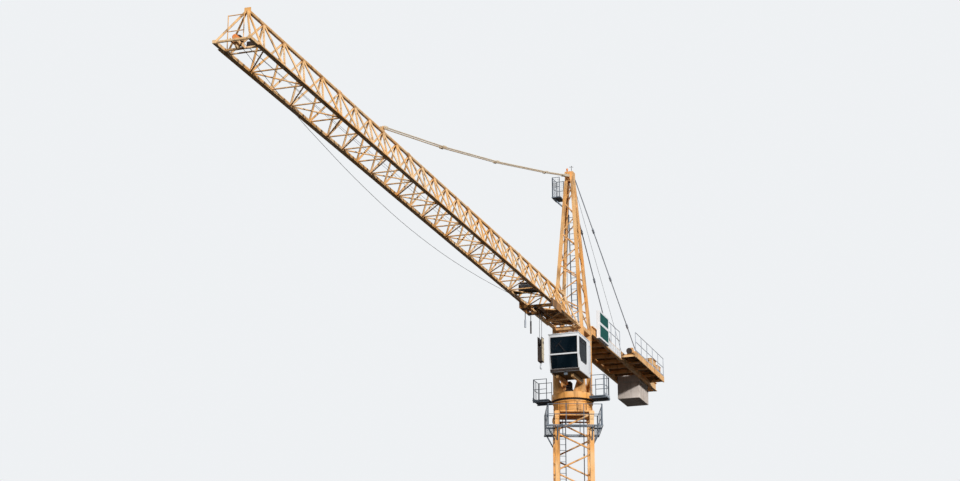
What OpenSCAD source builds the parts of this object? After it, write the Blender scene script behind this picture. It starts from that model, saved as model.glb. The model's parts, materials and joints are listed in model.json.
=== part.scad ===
// Tower crane with a saddle jib, at half its real size
// Origin at the centre of the base's underside, X along the jib, Z up

/* [Base frame] */
// Centre of the base to the end of each diagonal beam
beam_reach = 1560; // [1350:10:1700]
// Width of a base beam
beam_width = 220; // [160:5:300]
// Height of a base beam
beam_height = 320; // [240:5:400]
// Thickness of the base beams' flanges and webs
beam_plate = 26; // [16:1:40]
// Side of the square plate at each beam's end
foot_size = 400; // [300:10:520]
// Ground to the foot of the mast
base_height = 500; // [450:5:600]

/* [Mast] */
// Outer width of the mast
mast_width = 1000; // [900:5:1100]
// Side of a mast leg
mast_leg = 110; // [80:1:130]
// Number of mast sections
mast_sections = 6; // [3:1:7]
// Height of one mast section
section_height = 2070; // [1900:10:2300]
// Zigzag bays in one mast section
mast_bays = 4; // [3:1:5]
// Thickness of a mast brace
mast_brace = 44; // [34:1:56]
// Height of the sleeve where two sections join
sleeve_height = 150; // [100:5:200]
// How far a sleeve stands out from its leg
sleeve_wall = 12; // [8:1:16]
// Turn of the mast under the jib's rest direction
mast_turn = 20.3; // [0:0.1:44]

/* [Mast ladder] */
// Width of the ladder between its rails
ladder_width = 160; // [140:5:220]
// Centre of the mast's ladder beside the tower's axis
ladder_aside = 260; // [240:5:280]
// Thickness of a ladder rail
ladder_rail = 24; // [18:1:30]
// Thickness of a ladder rung
rung_size = 14; // [10:1:18]
// Pitch of the rungs
rung_pitch = 150; // [120:5:180]

/* [Mast gallery] */
// Top of the mast to the top of the gallery floor
gallery_drop = 385; // [360:5:440]
// Outer width of the gallery
gallery_width = 1440; // [1400:10:1520]
// Thickness of a walkway floor
floor_thickness = 26; // [20:1:36]
// Height of a guard rail
rail_height = 550; // [480:5:600]
// Thickness of a guard rail tube
rail_tube = 20; // [16:1:26]

/* [Slewing support] */
// Height of the fixed ring support
support_height = 312; // [280:2:340]
// Outer diameter of the fixed ring support
support_dia = 1040; // [980:5:1060]
// Number of stiffening ribs round the support
support_ribs = 12; // [8:2:20]
// Height of the slewing bearing
bearing_height = 54; // [44:1:70]
// Outer diameter of the slewing bearing
bearing_dia = 960; // [900:5:980]
// Inner diameter of the slewing bearing
bearing_bore = 700; // [640:5:740]

/* [Turntable] */
// Outer diameter of the turning ring band
band_dia = 1090; // [1060:5:1140]
// Height of the turning ring band
band_height = 158; // [140:2:190]
// Ring band to the centre line of the jib's lower chords
neck_height = 1726; // [1650:2:1800]
// Tower axis to the centre of a turntable leg
neck_half = 350; // [340:2:356]
// Side of a turntable leg
neck_leg = 120; // [110:2:130]
// Height of the gussets that spread each leg onto the band
gusset_height = 476; // [400:4:560]
// How far a gusset widens beside its leg at the band
gusset_reach = 170; // [120:2:176]
// Thickness of a gusset
gusset_plate = 24; // [16:1:30]

/* [Side platforms] */
// Tower axis to the outer edge of a side platform
platform_reach = 975; // [900:5:1050]
// Width of a side platform along the jib
platform_depth = 500; // [440:5:560]
// Tower axis to the platform's front edge
platform_front = 400; // [360:5:420]

/* [Cab] */
// Back of the cab, from the tower axis
cab_back = 540; // [520:5:600]
// Length of the cab
cab_length = 1050; // [950:5:1100]
// Width of the cab
cab_width = 790; // [740:5:840]
// Centre of the cab beside the tower axis
cab_side = 240; // [200:5:280]
// Height of the cab at its back
cab_height = 950; // [880:5:1000]
// Thickness of the cab's walls
cab_wall = 24; // [18:1:30]
// Centre line of the jib's lower chords down to the cab's roof
cab_drop = 484; // [440:2:540]
// How far the lower windscreen leans back at its foot
cab_rake = 90; // [60:5:120]
// Height of the support beams under the cab
cab_beam = 100; // [80:2:110]
// Width of the front pillars and window bars
cab_pillar = 44; // [30:1:54]
// Thickness of the glass
glass_thickness = 8; // [6:0.5:10]

/* [Tower head] */
// Centre line of the jib's lower chords to the top of the head
head_height = 4400; // [4000:20:4700]
// Half width of the head at its foot
head_foot = 370; // [360:2:372]
// Half width of the head at its top
head_top = 64; // [60:1:76]
// Side of a head leg
head_leg = 80; // [64:1:84]
// Height of the cap on the head
cap_height = 260; // [220:5:320]
// Top of the head down to the floor of the work basket
basket_drop = 790; // [740:5:840]
// Length of the work basket along the jib
basket_length = 410; // [380:5:460]
// Width of the work basket
basket_width = 245; // [220:5:280]
// Zigzag bays up the head
head_bays = 9; // [7:1:11]
// Thickness of a head brace
head_brace = 34; // [26:1:42]

/* [Jib] */
// Spacing of the two lower chords
jib_gauge = 675; // [640:5:700]
// Height of the top chord over the lower chords
jib_height = 795; // [740:5:840]
// Tower axis to the first lattice point of the jib
jib_root = 480; // [470:2:500]
// Length of a bay in the inner sections
inner_bay = 760; // [740:5:780]
// Length of a bay in the outer section
outer_bay = 890; // [860:5:910]
// Side of a lower chord
chord_size = 60; // [54:1:70]
// Width of the running ledge on a lower chord
ledge_width = 36; // [34:1:44]
// Thickness of the running ledge
ledge_plate = 12; // [8:1:16]
// Thickness of the top chord
top_chord = 70; // [60:1:86]
// Thickness of a side brace
side_brace = 42; // [34:1:48]
// Thickness of a floor brace
floor_brace = 32; // [26:1:38]
// Length of the jib beyond its last lattice point
nose_length = 620; // [560:10:700]

/* [Jib tie] */
// Lattice bay whose top carries the tie
tie_bay = 17; // [16:1:18]
// Thickness of each tie bar
tie_bar = 30; // [24:1:36]
// Spacing of the two tie bars
tie_gap = 90; // [84:1:110]
// How far the tie hangs below a straight line
tie_sag = 130; // [0:5:180]
// Height of the tie's lug over the top chord's centre line
tie_lug = 105; // [90:1:130]
// Length of the link plates at the head
link_length = 480; // [400:10:560]

/* [Pins] */
// Diameter of the pins at the roots of both jibs
root_pin = 36; // [28:1:40]
// Thickness of an eye at the roots of both jibs
root_eye = 30; // [24:1:36]
// Diameter of the pins of the tie and the stays
tie_pin = 28; // [22:1:32]
// Thickness of a lug
lug_plate = 14; // [10:1:16]

/* [Counter-jib] */
// Tower axis to the end of the counter-jib
counter_reach = 7300; // [7000:20:7500]
// Tower axis to the outer face of a main beam
counter_half = 430; // [410:2:450]
// Height of a main beam
counter_beam = 240; // [220:2:260]
// Width of a main beam
counter_flange = 90; // [70:2:110]
// Spacing of the cross members
cross_pitch = 620; // [560:10:700]
// Tower axis to the start of the side walkway
walkway_start = 3300; // [3200:10:3500]
// Tower axis to the end of the side walkway
walkway_end = 6450; // [6300:10:6600]
// Width of the side walkway
walkway_width = 400; // [360:5:440]
// End of the counter-jib to the pins at the feet of the stays
stay_setback = 1450; // [1400:10:1500]
// End of the counter-jib to the start of the counterweights
weight_setback = 1650; // [1600:10:1700]
// Number of counterweight slabs
weight_count = 3; // [2:1:4]
// Thickness of a slab along the counter-jib
weight_thick = 340; // [240:5:350]
// Width of a slab
weight_width = 640; // [600:5:660]
// Depth of the slabs below the lower chord level
weight_drop = 540; // [500:10:620]

/* [Winch] */
// End of the counter-jib to the axis of the hoisting drum
winch_setback = 2120; // [2080:10:2200]
// Diameter of the hoisting drum
drum_dia = 260; // [220:5:300]
// Length of the hoisting drum
drum_length = 420; // [380:5:440]

/* [Sign board] */
// Tower axis to the near edge of the board
sign_start = 850; // [830:10:920]
// Length of the board
sign_length = 920; // [860:10:960]
// Thickness of the board
sign_depth = 90; // [70:5:110]
// Height of the board
sign_height = 760; // [700:10:800]

/* [Trolley] */
// Tower axis to the trolley in the rest position
trolley_at = 2780; // [2700:10:2900]
// Length of the trolley frame
trolley_length = 820; // [760:10:880]
// Distance between the wheel axles
wheel_base = 600; // [540:10:640]
// Diameter of a trolley wheel
wheel_dia = 80; // [70:1:90]
// Width of a trolley wheel
wheel_width = 26; // [20:1:30]
// Diameter of the rope sheaves
sheave_dia = 200; // [180:2:220]
// Thickness of the rope sheaves
sheave_width = 30; // [24:1:36]

/* [Trolley winch] */
// Tower axis to the axis of the trolley winch
rope_winch_at = 3870; // [3820:5:3920]
// Diameter of its drum
rope_drum = 150; // [130:2:160]
// Length of its drum
rope_drum_length = 340; // [320:5:360]

/* [Hook block] */
// Centre line of the jib's lower chords to the top of the hook block
hook_drop = 861; // [800:1:950]
// Height of the hook block
block_height = 620; // [560:5:660]
// Width of the hook block
block_width = 190; // [170:2:210]
// Thickness of the hoisting rope
rope_dia = 12; // [8:1:14]

/* [Hidden] */

// Gap between pieces that run on one another
seat_gap = 0.3;
// Levels
mast_top = base_height + mast_sections * section_height;
gallery_level = mast_top - gallery_drop;
bearing_level = mast_top + support_height;
band_level = bearing_level + bearing_height;
deck_level = band_level + band_height;
jib_level = deck_level + neck_height;
head_level = jib_level + head_height;
// Mast
leg_at = (mast_width - mast_leg) / 2;
half_bay = section_height / mast_bays;
// Turntable top frame
frame_half = neck_half + neck_leg / 2;
frame_depth = 100;
frame_top = jib_level + chord_size / 2;
root_pin_x = (frame_half + jib_root) / 2;
root_radius = (jib_root - frame_half) / 2 - 3;
counter_y = counter_half - counter_flange / 2;
counter_pin_z = jib_level + root_radius + 8;
walkway_plate = 12;
stay_foot = counter_reach - stay_setback;
weight_start = counter_reach - weight_setback;
winch_at = counter_reach - winch_setback;
rail_start = sign_start + sign_length + 130;
// Jib lattice
inner_bays = 20;
outer_bays = 5;
jib_bays = inner_bays + outer_bays;
chord_y = jib_gauge / 2;
jib_end = point_x(jib_bays);
jib_tip = jib_end + nose_length;
// Trolley
ledge_top = jib_level - chord_size / 2 + ledge_plate;
wheel_z = ledge_top + seat_gap + wheel_dia / 2;
wheel_y = chord_y + chord_size / 2 + 5 + wheel_width / 2;
cheek_y = chord_y + chord_size / 2 + ledge_width + 8;
cheek_plate = 14;
trolley_z = jib_level - chord_size / 2 - 90;
// Head pins
head_front = head_top + head_leg / 2;
tie_pin_x = head_front + 120;
tie_pin_z = head_level - cap_height * 0.6;
stay_pin_x = head_front + 60;
stay_lug_y = 70;
stay_foot_z = jib_level + counter_beam + 110;
// Rope falls between the sheaves
block_sheave = sheave_dia - 20;
fall_x = rope_run(block_sheave);
trolley_sheave_x = fall_x + rope_run(sheave_dia);
sheave_z = trolley_z - 40;
block_sheave_z = jib_level - hook_drop - 130;
// Hook
block_top = jib_level - hook_drop;
block_foot = block_top - block_height;

function point_x(i) = i <= inner_bays
    ? jib_root + inner_bay * i
    : jib_root + inner_bay * inner_bays + outer_bay * (i - inner_bays);
function strut_x(i) = i == 0 ? jib_root + floor_brace : point_x(i);
function bay_length(i) = point_x(i + 1) - point_x(i);
function top_x(i) = point_x(i) + bay_length(i) / 4;
function diagonal_side(i) = (i % 2 == 0 ? 1 : -1) * (i < inner_bays ? 1 : -1);
// Centre of a rope in its groove, from the sheave's axis
function rope_run(d) = d / 2 - sheave_width / 3 + rope_dia / 2 + seat_gap;
function head_half(t) = head_foot + (head_top - head_foot) * t;
function head_share(z) = (z - frame_top) / (head_level - frame_top);
function head_z(t) = frame_top + (head_level - frame_top) * t;

// Puts what it holds on the line from a to b, with Z along that line
module along(a, b) {
    v = b - a;
    translate(a)
        rotate([0, acos(v.z / norm(v)), atan2(v.y, v.x)])
            children();
}

// A straight bar of few sides from a to b
module bar(a, b, d, sides = 6) {
    along(a, b)
        cylinder(h = norm(b - a), d = d, $fn = sides);
}

// A bar of square section from a to b
module square_bar(a, b, w, h) {
    along(a, b)
        translate([-w / 2, -h / 2, 0])
            cube([w, h, norm(b - a)]);
}

// A box given by its lowest and highest corners
module block(lo, hi) {
    translate(lo)
        cube(hi - lo);
}

// A tapering bar of square section, upright when seen along X and Y
module leg_bar(a, b, w) {
    v = b - a;
    multmatrix([[1, 0, v.x / v.z, a.x], [0, 1, v.y / v.z, a.y], [0, 0, 1, a.z]])
        translate([-w / 2, -w / 2, 0])
            cube([w, w, v.z]);
}

// A plate in the XZ plane from the edge a-b to a round eye at pin, centred on Y = 0
module lug(a, b, pin, r, thick, bore) {
    u = (b - a) / norm(b - a);
    rotate([90, 0, 0])
        translate([0, 0, -thick / 2])
            difference() {
                linear_extrude(thick)
                    union() {
                        polygon([a, b, pin + u * r, pin - u * r]);
                        translate(pin)
                            circle(r = r, $fn = 48);
                    }
                if (bore > 0)
                    translate([pin.x, pin.y, -1])
                        cylinder(h = thick + 2, d = bore, $fn = 48);
            }
}

// A pin along Y, centred on its middle
module cross_pin(d, length) {
    rotate([90, 0, 0])
        cylinder(h = length, d = d, center = true, $fn = 40);
}

// A rope sheave with a hub, on an axis along Y
module sheave(d, w, hub, bore) {
    groove = w / 3;
    rotate([90, 0, 0])
        rotate_extrude($fn = 48)
            polygon([[bore / 2, -hub / 2], [bore, -hub / 2], [bore, -w / 2], [d / 2, -w / 2], [d / 2, -groove],
                [d / 2 - groove, -groove / 2], [d / 2 - groove, groove / 2], [d / 2, groove], [d / 2, w / 2],
                [bore, w / 2], [bore, hub / 2], [bore / 2, hub / 2]]);
}

// One straight panel of guard rail
module rail_panel(a, b, steps) {
    for (h = [rail_height - rail_tube / 2, rail_height / 2])
        bar(a + [0, 0, h], b + [0, 0, h], rail_tube * 0.85, 8);
    for (s = [0 : steps])
        translate(a + (b - a) * s / steps)
            cylinder(h = rail_height, d = rail_tube, $fn = 8);
}

// Panels along a path of points at floor level, a little apart at the corners
module guard_rail(points, posts, closed = false) {
    last = closed ? len(points) - 1 : len(points) - 2;
    for (i = [0 : last]) {
        a = points[i];
        b = points[(i + 1) % len(points)];
        inset = (b - a) / norm(b - a) * rail_tube;
        rail_panel(a + inset, b - inset, posts[i]);
    }
}

// Base: two crossing beams whose ends stand on square plates
module base_beam() {
    web = beam_plate;
    for (z = [0, beam_height - beam_plate])
        translate([-beam_reach, -beam_width / 2, z])
            cube([2 * beam_reach, beam_width, beam_plate]);
    translate([-beam_reach, -web / 2, 0])
        cube([2 * beam_reach, web, beam_height]);
    for (x = [-beam_reach, beam_reach - beam_plate])
        translate([x, -beam_width / 2, 0])
            cube([beam_plate, beam_width, beam_height]);
}

module base_frame() {
    leg_radius = leg_at * sqrt(2);
    color("orange")
        rotate([0, 0, mast_turn])
            union() {
                for (a = [45, 135])
                    rotate([0, 0, a])
                        base_beam();
                for (a = [45 : 90 : 315])
                    rotate([0, 0, a]) {
                        translate([beam_reach - foot_size + beam_plate, -foot_size / 2, 0])
                            cube([foot_size, foot_size, beam_plate]);
                        translate([leg_radius, 0, 0])
                            rotate([0, 0, 45])
                                translate([-mast_leg / 2, -mast_leg / 2, 0])
                                    cube([mast_leg, mast_leg, base_height - seat_gap]);
                        for (s = [-1, 1])
                            translate([leg_radius, 0, beam_height])
                                rotate([90, 0, 0])
                                    translate([0, 0, -beam_plate / 2])
                                        linear_extrude(beam_plate)
                                            polygon([[0, 0], [s * 240, 0], [s * 100, base_height - beam_height - 20],
                                                [0, base_height - beam_height - 20]]);
                    }
            }
}

// Mast: each side holds two legs and its bracing, seen along +X as left at +Y
module mast_leg_bar(x, y) {
    translate([x - mast_leg / 2, y - mast_leg / 2, base_height])
        cube([mast_leg, mast_leg, mast_top - base_height]);
    for (i = [0 : mast_sections]) {
        lo = max(base_height, base_height + i * section_height - sleeve_height / 2);
        hi = min(mast_top, base_height + i * section_height + sleeve_height / 2);
        side = mast_leg + 2 * sleeve_wall;
        translate([x - side / 2, y - side / 2, lo])
            cube([side, side, hi - lo]);
    }
}

// Bracing in the plane X = 0 between two legs
module mast_panel(start) {
    reach = leg_at;
    for (i = [0 : mast_sections * mast_bays - 1]) {
        z = base_height + i * half_bay;
        s = i % 2 == 0 ? start : -start;
        bar([0, -s * reach, z + mast_brace], [0, s * reach, z + half_bay - mast_brace], mast_brace);
    }
    for (i = [0 : mast_sections], z = base_height + i * section_height)
        for (side = [-1, 1])
            if (z + side * sleeve_height / 2 > base_height && z + side * sleeve_height / 2 < mast_top)
                bar([0, -reach, z + side * sleeve_height / 2], [0, reach, z + side * sleeve_height / 2], mast_brace);
}

module mast_side(s) {
    color("orange")
        rotate([0, 0, mast_turn])
            union() {
                for (x = [-leg_at, leg_at])
                    mast_leg_bar(x, s * leg_at);
                translate([0, s * leg_at, 0])
                    rotate([0, 0, 90])
                        mast_panel(1);
            }
}

module mast_cross_bracing(s) {
    color("orange")
        rotate([0, 0, mast_turn])
            difference() {
                translate([s * leg_at, 0, 0])
                    mast_panel(-s);
                for (y = [-leg_at, leg_at])
                    mast_leg_bar(s * leg_at, y);
            }
}

module mast_left_side() {
    mast_side(1);
}

module mast_right_side() {
    mast_side(-1);
}

module mast_front_bracing() {
    mast_cross_bracing(1);
}

module mast_back_bracing() {
    mast_cross_bracing(-1);
}

// A ladder standing at the origin, climbed from +X
module ladder(height) {
    for (s = [-1, 1])
        translate([-ladder_rail / 2, s * ladder_width / 2 - ladder_rail / 2, 0])
            cube([ladder_rail, ladder_rail, height]);
    for (i = [1 : floor((height - 40) / rung_pitch)])
        bar([0, -ladder_width / 2, i * rung_pitch], [0, ladder_width / 2, i * rung_pitch], rung_size);
}

module mast_ladder() {
    ladder_x = -leg_at + mast_leg / 2 + 90;
    reach = ladder_x + leg_at - mast_brace / 2 * cos(30) - seat_gap;
    foot = base_height + 20;
    color("gainsboro")
        rotate([0, 0, mast_turn])
            translate([ladder_x, -ladder_aside, foot])
                union() {
                    ladder(mast_top - foot);
                    for (i = [1 : mast_sections - 1], s = [-1, 1])
                        translate([0, s * ladder_width / 2, base_height - foot + i * section_height + sleeve_height / 2])
                            rotate([0, -90, 0])
                                cylinder(h = reach, d = rung_size, $fn = 6);
                }
}

// Gallery round the top of the mast
module gallery_floor() {
    outer = gallery_width / 2;
    inner = mast_width / 2 + seat_gap;
    drop = 340;
    color("silver")
        rotate([0, 0, mast_turn])
            translate([0, 0, gallery_level - floor_thickness])
                difference() {
                    union() {
                        block([-outer, -outer, 0], [outer, outer, floor_thickness]);
                        for (turn = [0 : 90 : 270], s = [-1, 1])
                            rotate([0, 0, turn])
                                bar([inner - 20, s * leg_at, -drop], [outer - 40, s * leg_at, 10], 40);
                    }
                    block([-inner, -inner, -drop - 100], [inner, inner, floor_thickness + 1]);
                }
}

module gallery_railing() {
    e = gallery_width / 2 - rail_tube;
    color("silver")
        rotate([0, 0, mast_turn])
            translate([0, 0, gallery_level])
                guard_rail([[-e, -e, 0], [e, -e, 0], [e, e, 0], [-e, e, 0]], [3, 3, 3, 3], true);
}

// Fixed support that carries the slewing bearing
module ring_support() {
    foot_plate = 30;
    drum = support_dia - 50;
    height = support_height - seat_gap;
    color("orange")
        translate([0, 0, mast_top + seat_gap])
            difference() {
                union() {
                    rotate([0, 0, mast_turn])
                        translate([-mast_width / 2, -mast_width / 2, 0])
                            cube([mast_width, mast_width, foot_plate]);
                    cylinder(h = height - 1, d = drum, $fn = 96);
                    translate([0, 0, height - foot_plate])
                        cylinder(h = foot_plate, d = support_dia, $fn = 96);
                    for (i = [0 : support_ribs - 1])
                        rotate([0, 0, i * 360 / support_ribs])
                            translate([drum / 2 - 10, -8, foot_plate / 2])
                                cube([(support_dia - drum) / 2 + 6, 16, height - foot_plate]);
                }
                translate([0, 0, -1])
                    cylinder(h = support_height + 2, d = bearing_bore, $fn = 96);
            }
}

module slewing_bearing() {
    color("dimgray")
        translate([0, 0, bearing_level])
            difference() {
                cylinder(h = bearing_height - seat_gap, d = bearing_dia, $fn = 96);
                translate([0, 0, -1])
                    cylinder(h = bearing_height + 2, d = bearing_bore, $fn = 96);
            }
}

// Turntable: ring band, four flared legs and the square frame on top
module leg_gusset(x, y) {
    // Two plates near the leg's outer faces, widening towards the band
    outer = frame_half - 2;
    inner = frame_half - neck_leg;
    foot = inner - gusset_reach;
    translate([x > 0 ? outer - gusset_plate : -outer, 0, 0])
        rotate([90, 0, 90])
            linear_extrude(gusset_plate)
                polygon([[y * outer, -10], [y * foot, -10], [y * inner, gusset_height], [y * outer, gusset_height]]);
    translate([0, y > 0 ? outer : gusset_plate - outer, 0])
        rotate([90, 0, 0])
            linear_extrude(gusset_plate)
                polygon([[x * outer, -10], [x * foot, -10], [x * inner, gusset_height], [x * outer, gusset_height]]);
}

// Lugs with their pin, for an eye on the line Y = 0
module root_lugs(root, lo, hi, pin) {
    apart = root_eye / 2 + seat_gap + lug_plate / 2;
    for (t = [-1, 1])
        translate([0, t * apart, 0])
            lug([root, lo], [root, hi], pin, root_radius, lug_plate, 0);
    translate([pin.x, 0, pin.y])
        cross_pin(root_pin, 2 * apart + lug_plate + 16);
}

module turntable() {
    inner = neck_half - neck_leg / 2;
    brace_z = deck_level + 600;
    color("orange")
        union() {
            difference() {
                translate([0, 0, band_level])
                    cylinder(h = band_height, d = band_dia, $fn = 96);
                translate([0, 0, band_level - 1])
                    cylinder(h = band_height + 2, d = bearing_bore - 100, $fn = 96);
            }
            for (x = [-1, 1], y = [-1, 1])
                translate([0, 0, deck_level]) {
                    translate([x * neck_half - neck_leg / 2, y * neck_half - neck_leg / 2, -10])
                        cube([neck_leg, neck_leg, frame_top - deck_level]);
                    intersection() {
                        leg_gusset(x, y);
                        translate([0, 0, -10])
                            cylinder(h = gusset_height + 10, d = band_dia - 4, $fn = 96);
                    }
                }
            difference() {
                block([-frame_half, -frame_half, frame_top - frame_depth], [frame_half, frame_half, frame_top]);
                block([-inner, -inner, frame_top - frame_depth - 1], [inner, inner, frame_top + 1]);
            }
            for (s = [-1, 1]) {
                square_bar([-neck_half, s * neck_half, brace_z], [neck_half, s * neck_half, brace_z], 60, 60);
                bar([-neck_half, s * neck_half, brace_z + 20], [neck_half, s * neck_half, frame_top - 80], 50);
                square_bar([s * neck_half, -neck_half, brace_z], [s * neck_half, neck_half, brace_z], 60, 60);
                bar([s * neck_half, -neck_half, brace_z + 20], [s * neck_half, neck_half, frame_top - 80], 50);
                translate([0, s * chord_y, 0])
                    root_lugs(frame_half - 10, jib_level - root_radius, frame_top - 20,
                        [root_pin_x, jib_level]);
                translate([0, s * counter_y, 0])
                    root_lugs(10 - frame_half, frame_top - frame_depth + 10, frame_top - 20,
                        [-root_pin_x, counter_pin_z]);
            }
        }
}

module slewing_motor() {
    color("silver")
        translate([neck_half - 40, 0, deck_level])
            union() {
                cylinder(h = 90, d = 210, $fn = 40);
                translate([0, 0, 90])
                    cylinder(h = 180, d = 150, $fn = 40);
                translate([0, 0, 270])
                    cylinder(h = 40, d1 = 150, d2 = 90, $fn = 40);
            }
}

// Platforms at both sides of the turntable
module side_platforms() {
    inner = band_dia / 2 + seat_gap;
    low = band_level + 8;
    color("silver")
        for (s = [-1, 1])
            block([platform_front - platform_depth, min(s * inner, s * platform_reach), low],
                [platform_front, max(s * inner, s * platform_reach), low + floor_thickness]);
}

module platform_railings() {
    e = platform_reach - rail_tube;
    front = platform_front - rail_tube;
    back = platform_front - platform_depth + rail_tube;
    inner = band_dia / 2 + 30;
    color("silver")
        translate([0, 0, band_level + 8 + floor_thickness])
            for (s = [-1, 1])
                guard_rail([[front, s * inner, 0], [front, s * e, 0], [back, s * e, 0], [back, s * inner, 0]], [1, 2, 1]);
}

// Cab: a hollow shell with its windows cut through
cab_front = cab_back + cab_length;
cab_left = cab_side + cab_width / 2;
cab_right = cab_side - cab_width / 2;
cab_roof = jib_level - cab_drop;
cab_floor = cab_roof - cab_height;
cab_skirt = 80;
cab_split = cab_roof - cab_height * 0.54;
window_drop = 70;

module cab_outline(inset) {
    // Side view, X along the cab and Y up
    offset(delta = -inset)
        polygon([[cab_back, cab_floor], [cab_front - cab_rake - 20, cab_floor], [cab_front - cab_rake, cab_floor + 60],
            [cab_front, cab_split], [cab_front, cab_roof], [cab_back, cab_roof]]);
}

module cab_body(inset) {
    translate([0, cab_left - inset, 0])
        rotate([90, 0, 0])
            linear_extrude(cab_width - 2 * inset)
                cab_outline(inset);
}

module front_windows() {
    lo = cab_right + cab_pillar;
    hi = cab_left - cab_pillar;
    deep = cab_rake + 2 * cab_wall;
    block([cab_front - cab_wall - 2, lo, cab_split + cab_pillar / 2], [cab_front + 1, hi, cab_roof - window_drop]);
    block([cab_front - deep, lo, cab_floor + cab_skirt], [cab_front + 1, hi, cab_split - cab_pillar / 2]);
}

module side_windows() {
    back = cab_front - cab_length * 0.68;
    low = cab_floor + cab_height * 0.28;
    corner = 60;
    for (y = [cab_left - cab_wall - 1, cab_right - 1])
        translate([0, y, 0])
            rotate([90, 0, 0])
                translate([0, 0, -cab_wall - 2])
                    linear_extrude(cab_wall + 2)
                        polygon([[back + corner, low], [cab_front - cab_rake - cab_pillar - corner, low],
                            [cab_front - cab_rake - cab_pillar, low + corner], [cab_front - cab_pillar - 16, cab_split],
                            [cab_front - cab_pillar - 16, cab_roof - window_drop], [back, cab_roof - window_drop],
                            [back, low + corner]]);
}

module cab_shell() {
    color("white")
        difference() {
            cab_body(0);
            cab_body(cab_wall);
            front_windows();
            side_windows();
        }
}

module cab_glass() {
    lap = (cab_wall - glass_thickness) / 2;
    color("midnightblue")
        intersection() {
            difference() {
                cab_body(lap);
                cab_body(lap + glass_thickness);
            }
            union() {
                front_windows();
                side_windows();
            }
        }
}

module cab_seat() {
    color("dimgray")
        translate([cab_back + 520, cab_side, cab_floor + cab_wall])
            union() {
                cylinder(h = 200, d = 110, $fn = 32);
                translate([-130, -130, 190])
                    cube([270, 260, 60]);
                translate([-150, -120, 230])
                    cube([60, 240, 320]);
            }
}

module cab_support() {
    back = frame_half + seat_gap;
    cross_z = deck_level + gusset_height + 10;
    under = cab_floor - seat_gap;
    color("orange")
        union() {
            block([back, -frame_half, cross_z], [back + 80, frame_half, cross_z + cab_beam]);
            for (y = [cab_right + 90, cab_side + 100])
                block([back + 50, y, under - cab_beam], [cab_front - 300, y + 70, under]);
            for (y = [cab_right + 90, cab_side + 100])
                block([back + 50, y, under - cab_beam + 1], [back + 79, y + 70, cross_z + 1]);
        }
}

// Tower head: a tapering lattice with two full sides and two bracings
function head_point(x, y, t) = [x * head_half(t), y * head_half(t), head_z(t)];

module head_leg_bar(x, y) {
    leg_bar(head_point(x, y, 0), head_point(x, y, 1), head_leg);
}

module head_panel(across, s) {
    // Zigzag between the two legs of one face: across is 0 along X and 1 along Y
    for (i = [0 : head_bays - 1]) {
        e = i % 2 == 0 ? 1 : -1;
        t0 = (i + 0.15) / (head_bays + 1);
        t1 = (i + 1) / (head_bays + 1);
        a = across == 0 ? head_point(-e, s, t0) : head_point(s, -e, t0);
        b = across == 0 ? head_point(e, s, t1) : head_point(s, e, t1);
        bar(a, b, head_brace);
    }
}

module head_side(s) {
    color("orange")
        difference() {
            union() {
                for (x = [-1, 1])
                    head_leg_bar(x, s);
                head_panel(0, s);
            }
            block([-500, -500, head_level - cap_height], [500, 500, head_level + 100]);
            block([-500, -500, frame_top - 200], [500, 500, frame_top]);
        }
}

module head_cross(s) {
    color("orange")
        difference() {
            head_panel(1, s);
            for (y = [-1, 1])
                head_leg_bar(s, y);
        }
}

module head_left_side() {
    head_side(1);
}

module head_right_side() {
    head_side(-1);
}

module head_front_bracing() {
    head_cross(1);
}

module head_back_bracing() {
    head_cross(-1);
}

module head_cap() {
    e = head_front + 8;
    bore = tie_pin + 2 * seat_gap;
    top_sheave = 150;
    sheave_at = head_level - 40;
    color("orange")
        union() {
            difference() {
                block([-e, -e, head_level - cap_height], [e, e, head_level]);
                block([14 - e, -sheave_width, head_level - 150], [e - 14, sheave_width, head_level + 1]);
            }
            translate([0, 0, sheave_at])
                cross_pin(30, 2 * sheave_width + 20);
            for (s = [-1, 1]) {
                translate([0, s * (tie_gap / 2 - 6 - seat_gap - lug_plate / 2), 0])
                    lug([e - 6, head_level - cap_height + 10], [e - 6, head_level - 10], [tie_pin_x, tie_pin_z],
                        36, lug_plate, bore);
                translate([0, s * stay_lug_y, 0])
                    lug([6 - e, head_level - cap_height + 10], [6 - e, head_level - 10], [-stay_pin_x, tie_pin_z],
                        36, lug_plate, bore);
            }
        }
    color("dimgray")
        translate([0, 0, sheave_at])
            sheave(top_sheave, sheave_width, 2 * (sheave_width - seat_gap), 30 + 2 * seat_gap);
}

module head_ladder() {
    // It leans with the back face and ends where the head gets too narrow
    lean = (head_foot - head_top) / (head_level - frame_top);
    clear = ladder_width / 2 + ladder_rail + head_leg / 2;
    foot = head_foot - head_brace / 2 - ladder_rail / 2 - seat_gap;
    color("silver")
        multmatrix([[1, 0, lean, -foot], [0, 1, 0, 0], [0, 0, 1, frame_top]])
            ladder((head_foot - clear) / lean);
}

module head_basket() {
    z = head_level - basket_drop;
    drop = 240;
    in = head_half(head_share(z)) + head_leg / 2 + seat_gap;
    foot = head_half(head_share(z - drop)) + head_leg / 2 + seat_gap;
    out = in + basket_width;
    leg_x = head_half(head_share(z));
    back = leg_x - 150;
    front = back + basket_length;
    color("silver") {
        block([back, -out, z], [front, -in, z + floor_thickness]);
        difference() {
            for (x = [back + 60, front - 80])
                square_bar([leg_x, 20 - foot, z - drop + 30], [x, 30 - out, z + 8], 30, 30);
            block([-500, -foot, z - 2 * drop], [500, 500, z + 400]);
            block([-500, -2 * out, z - seat_gap], [500, 500, z + 400]);
        }
        translate([0, 0, z + floor_thickness + seat_gap])
            guard_rail([[back + 12, -in - 10, 0], [back + 12, 12 - out, 0], [front - 12, 12 - out, 0],
                [front - 12, -in - 10, 0]], [1, 2, 1]);
    }
}

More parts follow.
